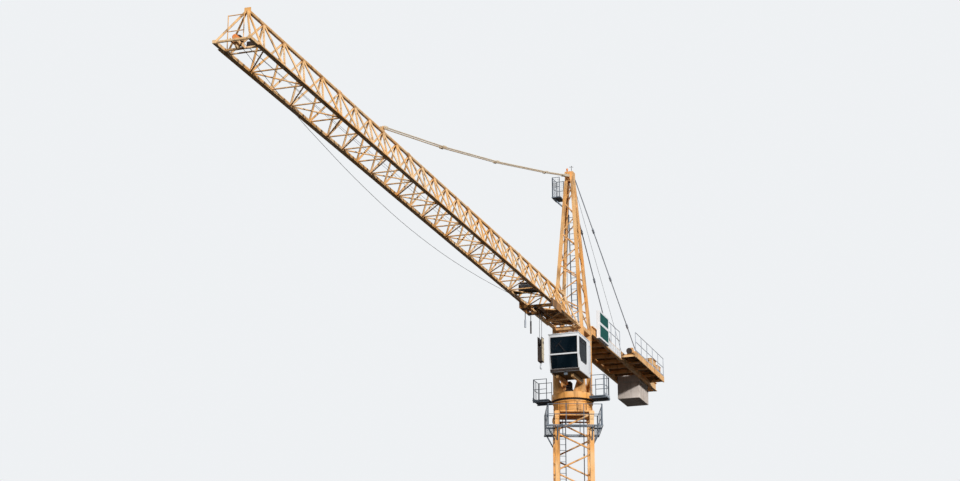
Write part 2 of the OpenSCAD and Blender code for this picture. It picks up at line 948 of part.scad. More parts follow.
// Jib lattice
module lower_chord(s) {
    y = s * chord_y;
    block([jib_root, y - chord_size / 2, jib_level - chord_size / 2],
        [jib_tip, y + chord_size / 2, jib_level + chord_size / 2]);
}

module top_chord_bar() {
    bar([top_x(0) - 50, 0, jib_level + jib_height], [jib_end, 0, jib_level + jib_height], top_chord, 8);
}

module jib_side(s) {
    color("orange")
        difference() {
            union() {
                lower_chord(s);
                translate([0, s * chord_y, 0])
                    lug([jib_root + 10, jib_level - root_radius], [jib_root + 10, jib_level + root_radius],
                        [root_pin_x, jib_level], root_radius, root_eye, root_pin + 2 * seat_gap);
                for (i = [0 : jib_bays - 1]) {
                    top = [top_x(i), 0, jib_level + jib_height];
                    for (x = [strut_x(i), point_x(i + 1)])
                        bar([x, s * chord_y, jib_level], top, side_brace);
                }
            }
            top_chord_bar();
            block([0, min(0, -s * 200), jib_level + 1], [jib_tip + 100, max(0, -s * 200), jib_level + jib_height * 2]);
        }
}

module jib_left_side() {
    jib_side(1);
}

module jib_right_side() {
    jib_side(-1);
}

module jib_top_chord() {
    lug_x = top_x(tie_bay);
    z = jib_level + jib_height;
    color("orange")
        union() {
            top_chord_bar();
            lug([lug_x - 110, z + top_chord / 3], [lug_x + 110, z + top_chord / 3], [lug_x, z + tie_lug],
                30, lug_plate + 10, tie_pin + 2 * seat_gap);
        }
}

// The ledges under the chords on which the trolley runs
module jib_rails() {
    y = chord_y + chord_size / 2;
    color("orange")
        for (s = [-1, 1])
            block([jib_root + 400, min(s * y, s * (y + ledge_width)), ledge_top - ledge_plate],
                [jib_tip - 300, max(s * y, s * (y + ledge_width)), ledge_top]);
}

module jib_floor_bracing() {
    color("orange")
        difference() {
            union() {
                for (i = [0 : jib_bays])
                    bar([strut_x(i), -chord_y, jib_level], [strut_x(i), chord_y, jib_level], floor_brace);
                for (i = [0 : jib_bays - 1])
                    bar([strut_x(i), diagonal_side(i) * chord_y, jib_level],
                        [point_x(i + 1), -diagonal_side(i) * chord_y, jib_level], floor_brace);
            }
            for (s = [-1, 1])
                lower_chord(s);
        }
}

module jib_nose() {
    apex = [jib_end + 20, 0, jib_level + jib_height];
    strut = jib_tip - 40;
    inner_strut = jib_end + nose_length * 0.3;
    plate_y = 50;
    rail_y = chord_size / 2 + rail_tube - chord_y;
    rail_end = 20;
    rail_top = jib_level + 650;
    color("orange")
        difference() {
            union() {
                block([jib_end, -60, apex.z - 70], [jib_end + 24, 60, apex.z + 50]);
                for (s = [-1, 1]) {
                    bar(apex, [strut, s * chord_y, jib_level], side_brace);
                    bar(apex, [jib_end + 60, s * chord_y, jib_level], side_brace);
                }
                for (x = [strut, inner_strut])
                    bar([x, -chord_y, jib_level], [x, chord_y, jib_level], 50, 8);
                for (y = [-plate_y, plate_y])
                    square_bar([inner_strut, y, jib_level + 20], [strut, y, jib_level + 20], 60, lug_plate);
                translate([(inner_strut + strut) / 2, 0, jib_level + 20])
                    cross_pin(30, 2 * plate_y + 40);
                for (z = [jib_level + 350, rail_top])
                    bar([inner_strut, rail_y, z], [inner_strut, rail_end, z], rail_tube, 8);
                for (y = [rail_y, rail_end])
                    bar([inner_strut, y, jib_level], [inner_strut, y, rail_top + rail_tube / 2], rail_tube, 8);
            }
            for (s = [-1, 1])
                lower_chord(s);
            top_chord_bar();
        }
    color("dimgray")
        translate([(inner_strut + strut) / 2, 0, jib_level + 20])
            sheave(sheave_dia, sheave_width, 2 * (plate_y - lug_plate / 2 - seat_gap), 30 + 2 * seat_gap);
}

// Two bars from the head to the top chord, in lengths that hang a little
tie_stops = [0, 0.15, 0.45, 0.73, 1];
tie_foot_x = top_x(tie_bay);
tie_foot_z = jib_level + jib_height + tie_lug;

function tie_point(i) = [tie_pin_x + (tie_foot_x - tie_pin_x) * tie_stops[i], 0,
    tie_pin_z + (tie_foot_z - tie_pin_z) * tie_stops[i] - 4 * tie_sag * tie_stops[i] * (1 - tie_stops[i])];
function tie_way(i, j) = (tie_point(j) - tie_point(i)) / norm(tie_point(j) - tie_point(i));

module jib_tie() {
    lengths = len(tie_stops) - 1;
    past_pin = 34;
    joint_half = 110;
    end_plate = 180;
    first = tie_way(0, 1);
    end = tie_way(lengths - 1, lengths);
    color("khaki")
        union() {
            for (s = [-1, 1])
                translate([0, s * tie_gap / 2, 0]) {
                    bar(tie_point(0) + first * (link_length - 2 * tie_bar), tie_point(1) - first * past_pin, tie_bar, 8);
                    for (i = [1 : lengths - 2])
                        bar(tie_point(i) + tie_way(i, i + 1) * past_pin, tie_point(i + 1) - tie_way(i, i + 1) * past_pin,
                            tie_bar, 8);
                    bar(tie_point(lengths - 1) + end * past_pin, tie_point(lengths) - end * 2 * tie_bar, tie_bar, 8);
                    square_bar(tie_point(0) - first * past_pin, tie_point(0) + first * link_length, 70, 12);
                    square_bar(tie_point(lengths) - end * end_plate, tie_point(lengths) + end * past_pin, 56, 12);
                    for (i = [1 : lengths - 1])
                        square_bar(tie_point(i) - tie_way(i - 1, i + 1) * joint_half,
                            tie_point(i) + tie_way(i - 1, i + 1) * joint_half, 60, 12);
                }
            for (i = [0 : lengths])
                translate(tie_point(i))
                    cross_pin(tie_pin, tie_gap + 34);
            translate(tie_point(0) + first * link_length * 0.9)
                cross_pin(tie_pin, tie_gap + 34);
        }
}

module trolley_winch() {
    base_z = jib_level + chord_size / 2;
    axis_z = base_z + 115;
    cheek = rope_drum_length / 2 + 8;
    color("dimgray")
        translate([rope_winch_at, 0, 0])
            union() {
                block([-130, -chord_y - 20, base_z], [130, chord_y + 20, base_z + 14]);
                for (y = [-cheek - 14, cheek])
                    block([-90, y, base_z + 10], [90, y + 14, axis_z + 60]);
                block([-20, -cheek - 10, axis_z + 90], [20, cheek + 10, axis_z + 130]);
                for (y = [-cheek - 14, cheek])
                    block([-20, y, axis_z + 50], [20, y + 14, axis_z + 130]);
                translate([0, 0, axis_z])
                    cross_pin(rope_drum, 2 * cheek + 10);
            }
}

// Counter-jib
module counter_beam_bar(s) {
    y = s * counter_half;
    y_in = y - s * counter_flange;
    plate = 20;
    for (z = [jib_level, jib_level + counter_beam - plate])
        block([-counter_reach, min(y, y_in), z], [-jib_root, max(y, y_in), z + plate]);
    block([-counter_reach, s * counter_y - plate / 2, jib_level], [-jib_root, s * counter_y + plate / 2, jib_level + counter_beam]);
    translate([0, s * counter_y, 0])
        lug([-jib_root - 10, jib_level + 4], [-jib_root - 10, jib_level + counter_beam / 2],
            [-root_pin_x, counter_pin_z], root_radius, root_eye, root_pin + 2 * seat_gap);
    translate([0, s * counter_y, 0])
        lug([-stay_foot - 90, jib_level + counter_beam - 4], [-stay_foot + 90, jib_level + counter_beam - 4],
            [-stay_foot, stay_foot_z], 34, lug_plate, tie_pin + 2 * seat_gap);
}

module counter_jib_frame() {
    // The walkway is a bolted frame of its own beside the left beam
    root = counter_half + seat_gap;
    outer = counter_half + walkway_width;
    color("orange")
        union() {
            for (s = [-1, 1])
                counter_beam_bar(s);
            for (x = [jib_root + 120 : cross_pitch : weight_start - 100])
                block([-x - 60, -counter_y, jib_level + 30], [-x, counter_y, jib_level + 120]);
            block([-counter_reach, -counter_y, jib_level + 2], [-counter_reach + 60, counter_y, jib_level + counter_beam - 2]);
            for (x = [walkway_start : (walkway_end - walkway_start - 50) / 4 : walkway_end])
                block([-x - 50, root + 2, jib_level + 60], [-x, outer + 2, jib_level + 110]);
            block([-walkway_end, root, jib_level + 4], [-walkway_start, root + walkway_plate, jib_level + counter_beam - 4]);
            block([-walkway_end, outer, jib_level + 40], [-walkway_start, outer + 30, jib_level + 200]);
        }
}

module counter_jib_deck() {
    color("silver")
        union() {
            block([-weight_start + 60, -counter_half + counter_flange, jib_level + 120],
                [-frame_half - 100, counter_half - counter_flange, jib_level + 120 + floor_thickness]);
            block([-walkway_end, counter_half + walkway_plate + 2, jib_level + 110],
                [-walkway_start, counter_half + walkway_width - seat_gap, jib_level + 110 + floor_thickness]);
        }
}

module counter_jib_railing() {
    z = jib_level + counter_beam;
    y = counter_half - 20;
    end = counter_reach - 20;
    outer = counter_half + walkway_width + 15;
    color("gainsboro")
        union() {
            guard_rail([[-rail_start, y, z], [-walkway_start, y, z]], [3]);
            guard_rail([[-sign_start, -y, z], [-end, -y, z], [-end, y, z], [-walkway_end, y, z]], [9, 2, 1]);
            translate([0, 0, jib_level + 200])
                guard_rail([[-walkway_start, outer, 0], [-walkway_end, outer, 0]], [5]);
        }
}

module counterweights() {
    // Bars through the slabs' tops rest on the beams, inside the stays' lugs
    hanger = counter_y - lug_plate / 2 - 6;
    color("tan")
        for (i = [0 : weight_count - 1])
            translate([-weight_start - (i + 1) * weight_thick - i * 10, 0, 0])
                union() {
                    block([0, -weight_width / 2, jib_level - weight_drop], [weight_thick, weight_width / 2, jib_level + counter_beam]);
                    block([80, -hanger, jib_level + counter_beam], [weight_thick - 80, hanger, jib_level + counter_beam + 80]);
                }
}

module hoist_winch() {
    z = jib_level + 120 + floor_thickness;
    cheek = drum_length / 2 + 10;
    color("darkorange")
        translate([-winch_at, 0, z])
            union() {
                block([-260, -330, 0], [260, 330, 60]);
                for (y = [-cheek - 20, cheek])
                    block([-150, y, 50], [150, y + 20, 360]);
                translate([0, 0, 210]) {
                    cross_pin(drum_dia, 2 * cheek + 10);
                    for (y = [-cheek + 14, cheek - 14])
                        translate([0, y, 0])
                            cross_pin(drum_dia + 60, 14);
                }
                block([-160, cheek + 10, 50], [160, 325, 300]);
                translate([230, 0, 150])
                    cross_pin(170, 420);
                block([150, -180, 50], [240, 180, 100]);
            }
}

module sign_board() {
    y = counter_half + seat_gap;
    frame = 44;
    color("white")
        difference() {
            block([-sign_start - sign_length, y, jib_level], [-sign_start, y + sign_depth, jib_level + sign_height]);
            block([-sign_start - sign_length + frame, y + sign_depth - 6, jib_level + frame],
                [-sign_start - frame, y + sign_depth + 1, jib_level + sign_height - frame]);
        }
}

module counter_jib_stays() {
    apart = lug_plate / 2 + tie_bar / 2 + 2;
    reach = apart + lug_plate / 2 + 4;
    color("khaki")
        for (s = [-1, 1]) {
            a = [-stay_pin_x, s * (stay_lug_y + apart), tie_pin_z];
            b = [-stay_foot, s * (counter_y - apart), stay_foot_z];
            bar(a, b, tie_bar, 8);
            translate(a - [0, s * apart, 0])
                cross_pin(tie_pin, 2 * apart + 10);
            translate(b + [0, s * reach / 2, 0])
                cross_pin(tie_pin, reach);
        }
}

// Trolley
module trolley_frame() {
    half = trolley_length / 2;
    color("peru")
        translate([trolley_at, 0, 0])
            union() {
                for (s = [-1, 1]) {
                    block([-half, min(s * cheek_y, s * (cheek_y + cheek_plate)), trolley_z - 40],
                        [half, max(s * cheek_y, s * (cheek_y + cheek_plate)), jib_level + 40]);
                    for (x = [-1, 1])
                        translate([x * wheel_base / 2, s * (wheel_y + wheel_width / 2 + seat_gap), wheel_z])
                            rotate([-s * 90, 0, 0])
                                cylinder(h = cheek_y - wheel_y - wheel_width / 2 + 2, d = 30, $fn = 32);
                }
                for (x = [-half + 60, half - 120])
                    block([x, -cheek_y - 2, trolley_z - 40], [x + 60, cheek_y + 2, trolley_z + 30]);
                for (y = [-70, 50])
                    block([-half + 70, y, trolley_z - 80], [half - 70, y + 20, trolley_z + 29]);
                for (x = [-1, 1])
                    translate([x * trolley_sheave_x, 0, sheave_z])
                        cross_pin(30, 130);
            }
    color("dimgray")
        translate([trolley_at, 0, sheave_z])
            for (x = [-1, 1])
                translate([x * trolley_sheave_x, 0, 0])
                    sheave(sheave_dia, sheave_width, 100 - 2 * seat_gap, 30 + 2 * seat_gap);
}

module trolley_wheels() {
    color("dimgray")
        translate([trolley_at, 0, 0])
            for (x = [-1, 1], s = [-1, 1])
                translate([x * wheel_base / 2, s * wheel_y, wheel_z])
                    rotate([90, 0, 0])
                        cylinder(h = wheel_width, d = wheel_dia, center = true, $fn = 40);
}

// Hook block
module hook_block() {
    cheek = 40;
    color("dimgray")
        translate([trolley_at, 0, block_foot])
            union() {
                for (y = [-cheek - 14, cheek])
                    block([-block_width / 2, y, 0], [block_width / 2, y + 14, block_height]);
                block([-block_width / 2 + 10, -cheek - 2, 0],
                    [block_width / 2 - 10, cheek + 2, block_sheave_z - block_foot - block_sheave / 2 - 30]);
                translate([0, 0, block_sheave_z - block_foot])
                    cross_pin(34, 2 * cheek + 48);
            }
    color("dimgray")
        translate([trolley_at, 0, block_sheave_z])
            sheave(block_sheave, sheave_width, 2 * (cheek - seat_gap), 34 + 2 * seat_gap);
}

module crane_hook() {
    shank = 30;
    color("silver")
        translate([trolley_at, 0, block_foot - seat_gap])
            union() {
                translate([0, 0, -70])
                    cylinder(h = 70, d = shank, $fn = 32);
                translate([0, 0, -130])
                    rotate([90, 0, 0])
                        rotate([0, 0, -160])
                            rotate_extrude(angle = 250, $fn = 48)
                                translate([45, 0])
                                    circle(d = 30, $fn = 32);
            }
}

module hoist_falls() {
    color("black")
        for (x = [-1, 1])
            translate([trolley_at + x * fall_x, 0, block_sheave_z])
                cylinder(h = sheave_z - block_sheave_z, d = rope_dia, $fn = 8);
}

base_frame();
mast_left_side();
mast_right_side();
mast_front_bracing();
mast_back_bracing();
mast_ladder();
gallery_floor();
gallery_railing();
ring_support();
slewing_bearing();
turntable();
slewing_motor();
side_platforms();
platform_railings();
cab_shell();
cab_glass();
cab_seat();
cab_support();
head_left_side();
head_right_side();
head_front_bracing();
head_back_bracing();
head_cap();
head_ladder();
head_basket();
jib_left_side();
jib_right_side();
jib_top_chord();
jib_rails();
jib_floor_bracing();
jib_nose();
jib_tie();
trolley_winch();
counter_jib_frame();
counter_jib_deck();
counter_jib_railing();
counterweights();
hoist_winch();
sign_board();
counter_jib_stays();
trolley_frame();
trolley_wheels();
hook_block();
crane_hook();
hoist_falls();
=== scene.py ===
import json
from math import cos, pi, radians, sin
import bmesh
import bpy
from mathutils import Matrix, Vector


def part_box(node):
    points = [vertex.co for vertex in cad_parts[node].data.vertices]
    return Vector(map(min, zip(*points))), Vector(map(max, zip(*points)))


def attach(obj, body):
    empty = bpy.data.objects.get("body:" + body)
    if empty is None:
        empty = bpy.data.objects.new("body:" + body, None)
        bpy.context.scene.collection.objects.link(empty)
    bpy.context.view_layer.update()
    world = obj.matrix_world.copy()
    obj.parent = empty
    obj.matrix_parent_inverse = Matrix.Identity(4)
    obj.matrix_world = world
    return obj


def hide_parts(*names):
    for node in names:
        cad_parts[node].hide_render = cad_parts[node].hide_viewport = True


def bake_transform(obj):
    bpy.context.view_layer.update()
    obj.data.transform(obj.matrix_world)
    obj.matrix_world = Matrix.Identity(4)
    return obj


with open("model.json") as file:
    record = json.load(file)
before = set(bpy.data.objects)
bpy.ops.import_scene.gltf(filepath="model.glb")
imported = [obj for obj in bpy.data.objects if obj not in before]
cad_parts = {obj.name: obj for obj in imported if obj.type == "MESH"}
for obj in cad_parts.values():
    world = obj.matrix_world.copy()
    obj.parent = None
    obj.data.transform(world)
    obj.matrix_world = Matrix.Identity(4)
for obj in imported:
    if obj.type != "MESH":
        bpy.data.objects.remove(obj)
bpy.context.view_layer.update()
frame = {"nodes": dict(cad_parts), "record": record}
print("frame loaded:", len(frame["nodes"]), "nodes")

# Camera, solved from the photograph
cameraSetup = {"place": (51.452, 15.044, 0.894), "heading": 198.872, "tilt": 17.391, "lens": 79.35}


def makeCamera(setup):
    data = bpy.data.cameras.new("photoCamera")
    data.lens = setup["lens"]
    data.sensor_width = 36
    data.clip_end = 400
    camera = bpy.data.objects.new("photoCamera", data)
    heading = radians(setup["heading"])
    tilt = radians(setup["tilt"])
    aim = Vector((cos(heading) * cos(tilt), sin(heading) * cos(tilt), sin(tilt)))
    camera.rotation_euler = aim.to_track_quat("-Z", "Y").to_euler()
    camera.location = setup["place"]
    bpy.context.scene.collection.objects.link(camera)
    bpy.context.scene.camera = camera


makeCamera(cameraSetup)
bpy.context.scene.view_settings.view_transform = "Standard"


# Levels and places shared with the CAD model, in metres
jibLevel = 15.170
chordY = 0.3375
apexZ = jibLevel + 0.795
deckTop = jibLevel + 0.146
walkwayTop = jibLevel + 0.136
drumX = -5.18
drumZ = deckTop + 0.21
trolleyX = 2.780
headSheaveZ = 19.53
mastTurn = radians(20.3)
mastHalf = 0.445  # from the mast's axis to the axis of a leg
mastFoot = 0.5
sectionPitch = 2.07


# Materials
def nodeTree(name):
    material = bpy.data.materials.new(name)
    material.use_nodes = True
    tree = material.node_tree
    shader = tree.nodes["Principled BSDF"]
    return material, tree, shader


def link(tree, output, socket):
    tree.links.new(output, socket)


def noise(tree, scale, detail=4, stretch=(1, 1, 1), rough=0.55):
    place = tree.nodes.new("ShaderNodeTexCoord")
    mapping = tree.nodes.new("ShaderNodeMapping")
    mapping.inputs["Scale"].default_value = stretch
    texture = tree.nodes.new("ShaderNodeTexNoise")
    texture.inputs["Scale"].default_value = scale
    texture.inputs["Detail"].default_value = detail
    texture.inputs["Roughness"].default_value = rough
    link(tree, place.outputs["Object"], mapping.inputs["Vector"])
    link(tree, mapping.outputs["Vector"], texture.inputs["Vector"])
    return texture.outputs["Fac"]


def ramp(tree, value, low, high, lowColour=(0, 0, 0, 1), highColour=(1, 1, 1, 1)):
    node = tree.nodes.new("ShaderNodeValToRGB")
    node.color_ramp.elements[0].position = low
    node.color_ramp.elements[1].position = high
    node.color_ramp.elements[0].color = lowColour
    node.color_ramp.elements[1].color = highColour
    link(tree, value, node.inputs["Fac"])
    return node.outputs["Color"]


def mixed(tree, amount, first, second):
    node = tree.nodes.new("ShaderNodeMix")
    node.data_type = "RGBA"
    link(tree, amount, node.inputs["Factor"])
    for socket, value in (("A", first), ("B", second)):
        target = [i for i in node.inputs if i.name == socket and i.type == "RGBA"][0]
        if isinstance(value, (tuple, list)):
            target.default_value = (*value[:3], 1)
        else:
            link(tree, value, target)
    return [o for o in node.outputs if o.type == "RGBA"][0]


def bump(tree, shader, height, strength, distance):
    node = tree.nodes.new("ShaderNodeBump")
    node.inputs["Strength"].default_value = strength
    node.inputs["Distance"].default_value = distance
    link(tree, height, node.inputs["Height"])
    link(tree, node.outputs["Normal"], shader.inputs["Normal"])


def roughness(tree, shader, value, low, high):
    node = tree.nodes.new("ShaderNodeMapRange")
    node.inputs["To Min"].default_value = low
    node.inputs["To Max"].default_value = high
    link(tree, value, node.inputs["Value"])
    link(tree, node.outputs["Result"], shader.inputs["Roughness"])


# Paint with broad fading, streaks of grime that run down and small chips
def paintedSteel(name, colour, faded, stain, stainFrom, stainTo, gloss=(0.42, 0.62), shine=0.3):
    material, tree, shader = nodeTree(name)
    broad = ramp(tree, noise(tree, scale=1.1, detail=3), low=0.38, high=0.66)
    body = mixed(tree, broad, colour, faded)
    runs = noise(tree, scale=3.2, detail=6, stretch=(2.4, 2.4, 0.35), rough=0.62)
    streaks = ramp(tree, runs, stainFrom, stainTo)
    grimy = mixed(tree, streaks, body, stain)
    chips = ramp(tree, noise(tree, scale=34, detail=5, rough=0.7), low=0.66, high=0.7)
    final = mixed(tree, chips, grimy, [c * 0.35 for c in stain])
    link(tree, final, shader.inputs["Base Color"])
    fine = noise(tree, scale=60, detail=3)
    roughness(tree, shader, fine, *gloss)
    bump(tree, shader, fine, strength=0.12, distance=0.002)
    shader.inputs["Specular IOR Level"].default_value = shine
    return material


def galvanisedSteel(name, pale, dull, metallic=0.25):
    material, tree, shader = nodeTree(name)
    place = tree.nodes.new("ShaderNodeTexCoord")
    spangle = tree.nodes.new("ShaderNodeTexVoronoi")
    spangle.inputs["Scale"].default_value = 55
    link(tree, place.outputs["Object"], spangle.inputs["Vector"])
    grains = ramp(tree, spangle.outputs["Distance"], low=0.1, high=0.9)
    body = mixed(tree, grains, pale, dull)
    stains = ramp(tree, noise(tree, scale=2.5, detail=5, stretch=(2, 2, 0.5)), low=0.5, high=0.8)
    final = mixed(tree, stains, body, [c * 0.6 for c in dull])
    link(tree, final, shader.inputs["Base Color"])
    shader.inputs["Metallic"].default_value = metallic
    shader.inputs["Specular IOR Level"].default_value = 0.3
    roughness(tree, shader, noise(tree, scale=25, detail=3), low=0.50, high=0.75)
    return material


def plainMetal(name, colour, stain, metallic, gloss, scale=18):
    material, tree, shader = nodeTree(name)
    patches = ramp(tree, noise(tree, scale, detail=5), low=0.42, high=0.72)
    link(tree, mixed(tree, patches, colour, stain), shader.inputs["Base Color"])
    shader.inputs["Metallic"].default_value = metallic
    fine = noise(tree, scale * 4, detail=3)
    roughness(tree, shader, fine, *gloss)
    bump(tree, shader, fine, strength=0.15, distance=0.0015)
    shader.inputs["Specular IOR Level"].default_value = 0.3
    return material


def tintedGlass(name, colour):
    material, tree, shader = nodeTree(name)
    smears = ramp(tree, noise(tree, scale=4, stretch=(1, 1, 0.3)), low=0.4, high=0.75)
    smeared = [c * 1.8 + 0.004 for c in colour]
    link(tree, mixed(tree, smears, colour, smeared), shader.inputs["Base Color"])
    roughness(tree, shader, noise(tree, scale=9, detail=3), low=0.03, high=0.12)
    shader.inputs["IOR"].default_value = 1.5
    shader.inputs["Specular IOR Level"].default_value = 0.02
    shader.inputs["Alpha"].default_value = 0.72
    return material


def castConcrete(name, pale, dark):
    material, tree, shader = nodeTree(name)
    cloud = ramp(tree, noise(tree, scale=3.5, detail=6), low=0.35, high=0.7)
    runs = ramp(tree, noise(tree, scale=5, detail=5, stretch=(3, 3, 0.3)), low=0.52, high=0.78)
    body = mixed(tree, cloud, pale, dark)
    link(tree, mixed(tree, runs, body, [c * 0.55 for c in dark]), shader.inputs["Base Color"])
    shader.inputs["Roughness"].default_value = 0.9
    shader.inputs["Specular IOR Level"].default_value = 0.2
    bump(tree, shader, noise(tree, scale=45, detail=6), strength=0.4, distance=0.004)
    return material


def strandedRope(name, colour, shine):
    material, tree, shader = nodeTree(name)
    place = tree.nodes.new("ShaderNodeTexCoord")
    wave = tree.nodes.new("ShaderNodeTexWave")
    wave.inputs["Scale"].default_value = 30
    wave.inputs["Distortion"].default_value = 1.5
    wave.bands_direction = "DIAGONAL"
    link(tree, place.outputs["Object"], wave.inputs["Vector"])
    link(tree, mixed(tree, wave.outputs["Fac"], colour, shine), shader.inputs["Base Color"])
    shader.inputs["Metallic"].default_value = 0.4
    shader.inputs["Roughness"].default_value = 0.55
    bump(tree, shader, wave.outputs["Fac"], strength=0.4, distance=0.002)
    return material


def wovenFabric(name, colour):
    material, tree, shader = nodeTree(name)
    place = tree.nodes.new("ShaderNodeTexCoord")
    weave = tree.nodes.new("ShaderNodeTexChecker")
    weave.inputs["Scale"].default_value = 400
    link(tree, place.outputs["Object"], weave.inputs["Vector"])
    lighter = [c * 1.6 for c in colour]
    link(tree, mixed(tree, weave.outputs["Fac"], colour, lighter), shader.inputs["Base Color"])
    shader.inputs["Roughness"].default_value = 0.92
    shader.inputs["Sheen Weight"].default_value = 0.3
    return material


# Each paint: its colour, the same faded, its stains, how far they spread, its gloss and shine
finish = {
    "ochre_paint": paintedSteel("ochrePaint", (0.75, 0.345, 0.090), (0.80, 0.51, 0.25), (0.12, 0.05, 0.022),
                                0.50, 0.76, shine=0.12),
    "galvanised": galvanisedSteel("galvanised", (0.46, 0.49, 0.53), (0.30, 0.32, 0.36)),
    "dark_steel": plainMetal("darkSteel", (0.022, 0.016, 0.014), (0.060, 0.036, 0.024), 0.2, (0.50, 0.72)),
    "white_paint": paintedSteel("whitePaint", (0.78, 0.79, 0.80), (0.70, 0.71, 0.72), (0.42, 0.39, 0.36),
                                0.64, 0.88, (0.30, 0.48)),
    "grey_paint": paintedSteel("greyPaint", (0.40, 0.42, 0.45), (0.48, 0.50, 0.52), (0.10, 0.09, 0.08),
                               0.58, 0.8),
    "dark_glass": tintedGlass("darkGlass", (0.003, 0.008, 0.013)),
    "faded_ochre": paintedSteel("fadedOchre", (0.76, 0.41, 0.145), (0.81, 0.57, 0.33), (0.12, 0.06, 0.03),
                                0.52, 0.76, shine=0.12),
    "seat_fabric": wovenFabric("seatFabric", (0.03, 0.03, 0.035)),
    "tie_paint": paintedSteel("tiePaint", (0.60, 0.46, 0.30), (0.68, 0.58, 0.44), (0.16, 0.11, 0.07),
                              0.55, 0.80),
    "orange_paint": paintedSteel("orangePaint", (0.70, 0.19, 0.035), (0.76, 0.30, 0.09), (0.12, 0.05, 0.03),
                                 0.55, 0.8),
    "concrete": castConcrete("castConcrete", (0.66, 0.58, 0.52), (0.52, 0.44, 0.38)),
    "wire_rope": strandedRope("wireRope", (0.02, 0.02, 0.022), (0.08, 0.08, 0.085)),
    "green_paint": paintedSteel("greenPaint", (0.004, 0.07, 0.062), (0.006, 0.085, 0.072),
                                (0.01, 0.03, 0.026), 0.6, 0.85, (0.55, 0.7), 0.06),
    "cream_paint": paintedSteel("creamPaint", (0.62, 0.52, 0.34), (0.55, 0.46, 0.32), (0.2, 0.15, 0.1),
                                0.55, 0.8),
    # A darker galvanised for the tower's railings, ladders, basket, gratings and lamp
    "darker_galvanised": galvanisedSteel("darkerGalvanised", (0.17, 0.20, 0.23), (0.09, 0.11, 0.14)),
    # A dark ochre, partly grease and partly painted shade: on the trolley, the counter-jib's gratings and the
    # floor at the jib's foot
    "greasy_ochre_and_shade": paintedSteel("greasyOchreAndShade", (0.34, 0.15, 0.045), (0.5, 0.24, 0.07), (0.03, 0.018, 0.012),
                                 0.40, 0.62, shine=0.12),
}
# Nodes with a finish of their own: faded ochre on the jib, plain galvanised on the stays, a darker
# galvanised, greasy ochre that is partly painted shade, and dark steel on the slewing motor as painted shade
ownFinishNodes = {
    "darker_galvanised": ("platform_railings", "gallery_railing", "mast_ladder", "head_ladder", "head_basket"),
    "greasy_ochre_and_shade": ("trolley_frame",),
    # The slewing motor is grey paint; its dark steel here is painted shade
    "dark_steel": ("slewing_motor",),
    "galvanised": ("counter_jib_stays",),
    "faded_ochre": ("jib_left_side", "jib_right_side", "jib_top_chord", "jib_floor_bracing", "jib_nose"),
}
nodeFinish = {s["node"]: s["material_slot"] for s in frame["record"]["subparts"]}
for finishName, nodeNames in ownFinishNodes.items():
    nodeFinish.update(dict.fromkeys(nodeNames, finishName))
for nodeName, nodeObject in frame["nodes"].items():
    nodeObject.data.materials.clear()
    nodeObject.data.materials.append(finish[nodeFinish.get(nodeName, "ochre_paint")])
print("materials made:", len(finish))


# A round bar, or a hexagon nut with six sides, from a to b
def tube(bm, a, b, radius, sides=8):
    a, b = Vector(a), Vector(b)
    turn = (b - a).to_track_quat("Z", "Y").to_matrix().to_4x4()
    bmesh.ops.create_cone(bm, cap_ends=True, segments=sides, radius1=radius, radius2=radius,
                          depth=(b - a).length, matrix=Matrix.Translation((a + b) / 2) @ turn)


# Bars end to end through the points
def run(bm, points, radius, sides=8):
    for a, b in zip(points, points[1:]):
        tube(bm, a, b, radius, sides)


# Points spread evenly round a circle
def circle(radius, count, first=0.0):
    turns = [first + 2 * pi * k / count for k in range(count)]
    return [(radius * cos(a), radius * sin(a)) for a in turns]


# A block between two corners, its edges rounded off by the last value
def slab(bm, low, high, soften=0.0):
    low, high = Vector(low), Vector(high)
    size = high - low
    place = Matrix.Translation((low + high) / 2) @ Matrix.Diagonal((*size, 1))
    made = bmesh.ops.create_cube(bm, size=1, matrix=place)
    if soften:
        edges = list({e for v in made["verts"] for e in v.link_edges})
        bmesh.ops.bevel(bm, geom=edges, offset=soften, offset_type="OFFSET", segments=2, profile=0.5,
                        affect="EDGES", material=-1)


# Turns the vertices made since a count about the upright axis
def turned(bm, angle, since):
    bmesh.ops.transform(bm, matrix=Matrix.Rotation(angle, 4, "Z"), verts=list(bm.verts)[since:])


# Finishes a mesh as a named piece; without a body it is left unattached
def piece(name, bm, slotName, body="upper"):
    bmesh.ops.recalc_face_normals(bm, faces=bm.faces)
    mesh = bpy.data.meshes.new(name)
    bm.to_mesh(mesh)
    bm.free()
    mesh.materials.append(finish[slotName])
    made = bpy.data.objects.new(name, mesh)
    bpy.context.scene.collection.objects.link(made)
    if body:
        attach(made, body)
    return made


# Light, floor and backdrop
lightSetup = {"key": {"azimuth": 57, "height": 19, "power": 3.3, "width": 3},
              "front": {"azimuth": 8, "height": 9, "power": 1.35, "width": 10},
              "back": {"azimuth": 235, "height": 32, "power": 1.5, "width": 30},
              "fill": 0.25, "fillColour": (0.80, 0.86, 0.95), "below": 0.02, "backdrop": (0.86, 0.88, 0.90)}


def makeSun(name, lamp):
    data = bpy.data.lights.new(name, "SUN")
    data.energy = lamp["power"]
    data.angle = radians(lamp["width"])
    sun = bpy.data.objects.new(name, data)
    sun.rotation_euler = (radians(90 - lamp["height"]), 0, radians(lamp["azimuth"] + 90))
    sun.location = (20, 20, 40)
    bpy.context.scene.collection.objects.link(sun)


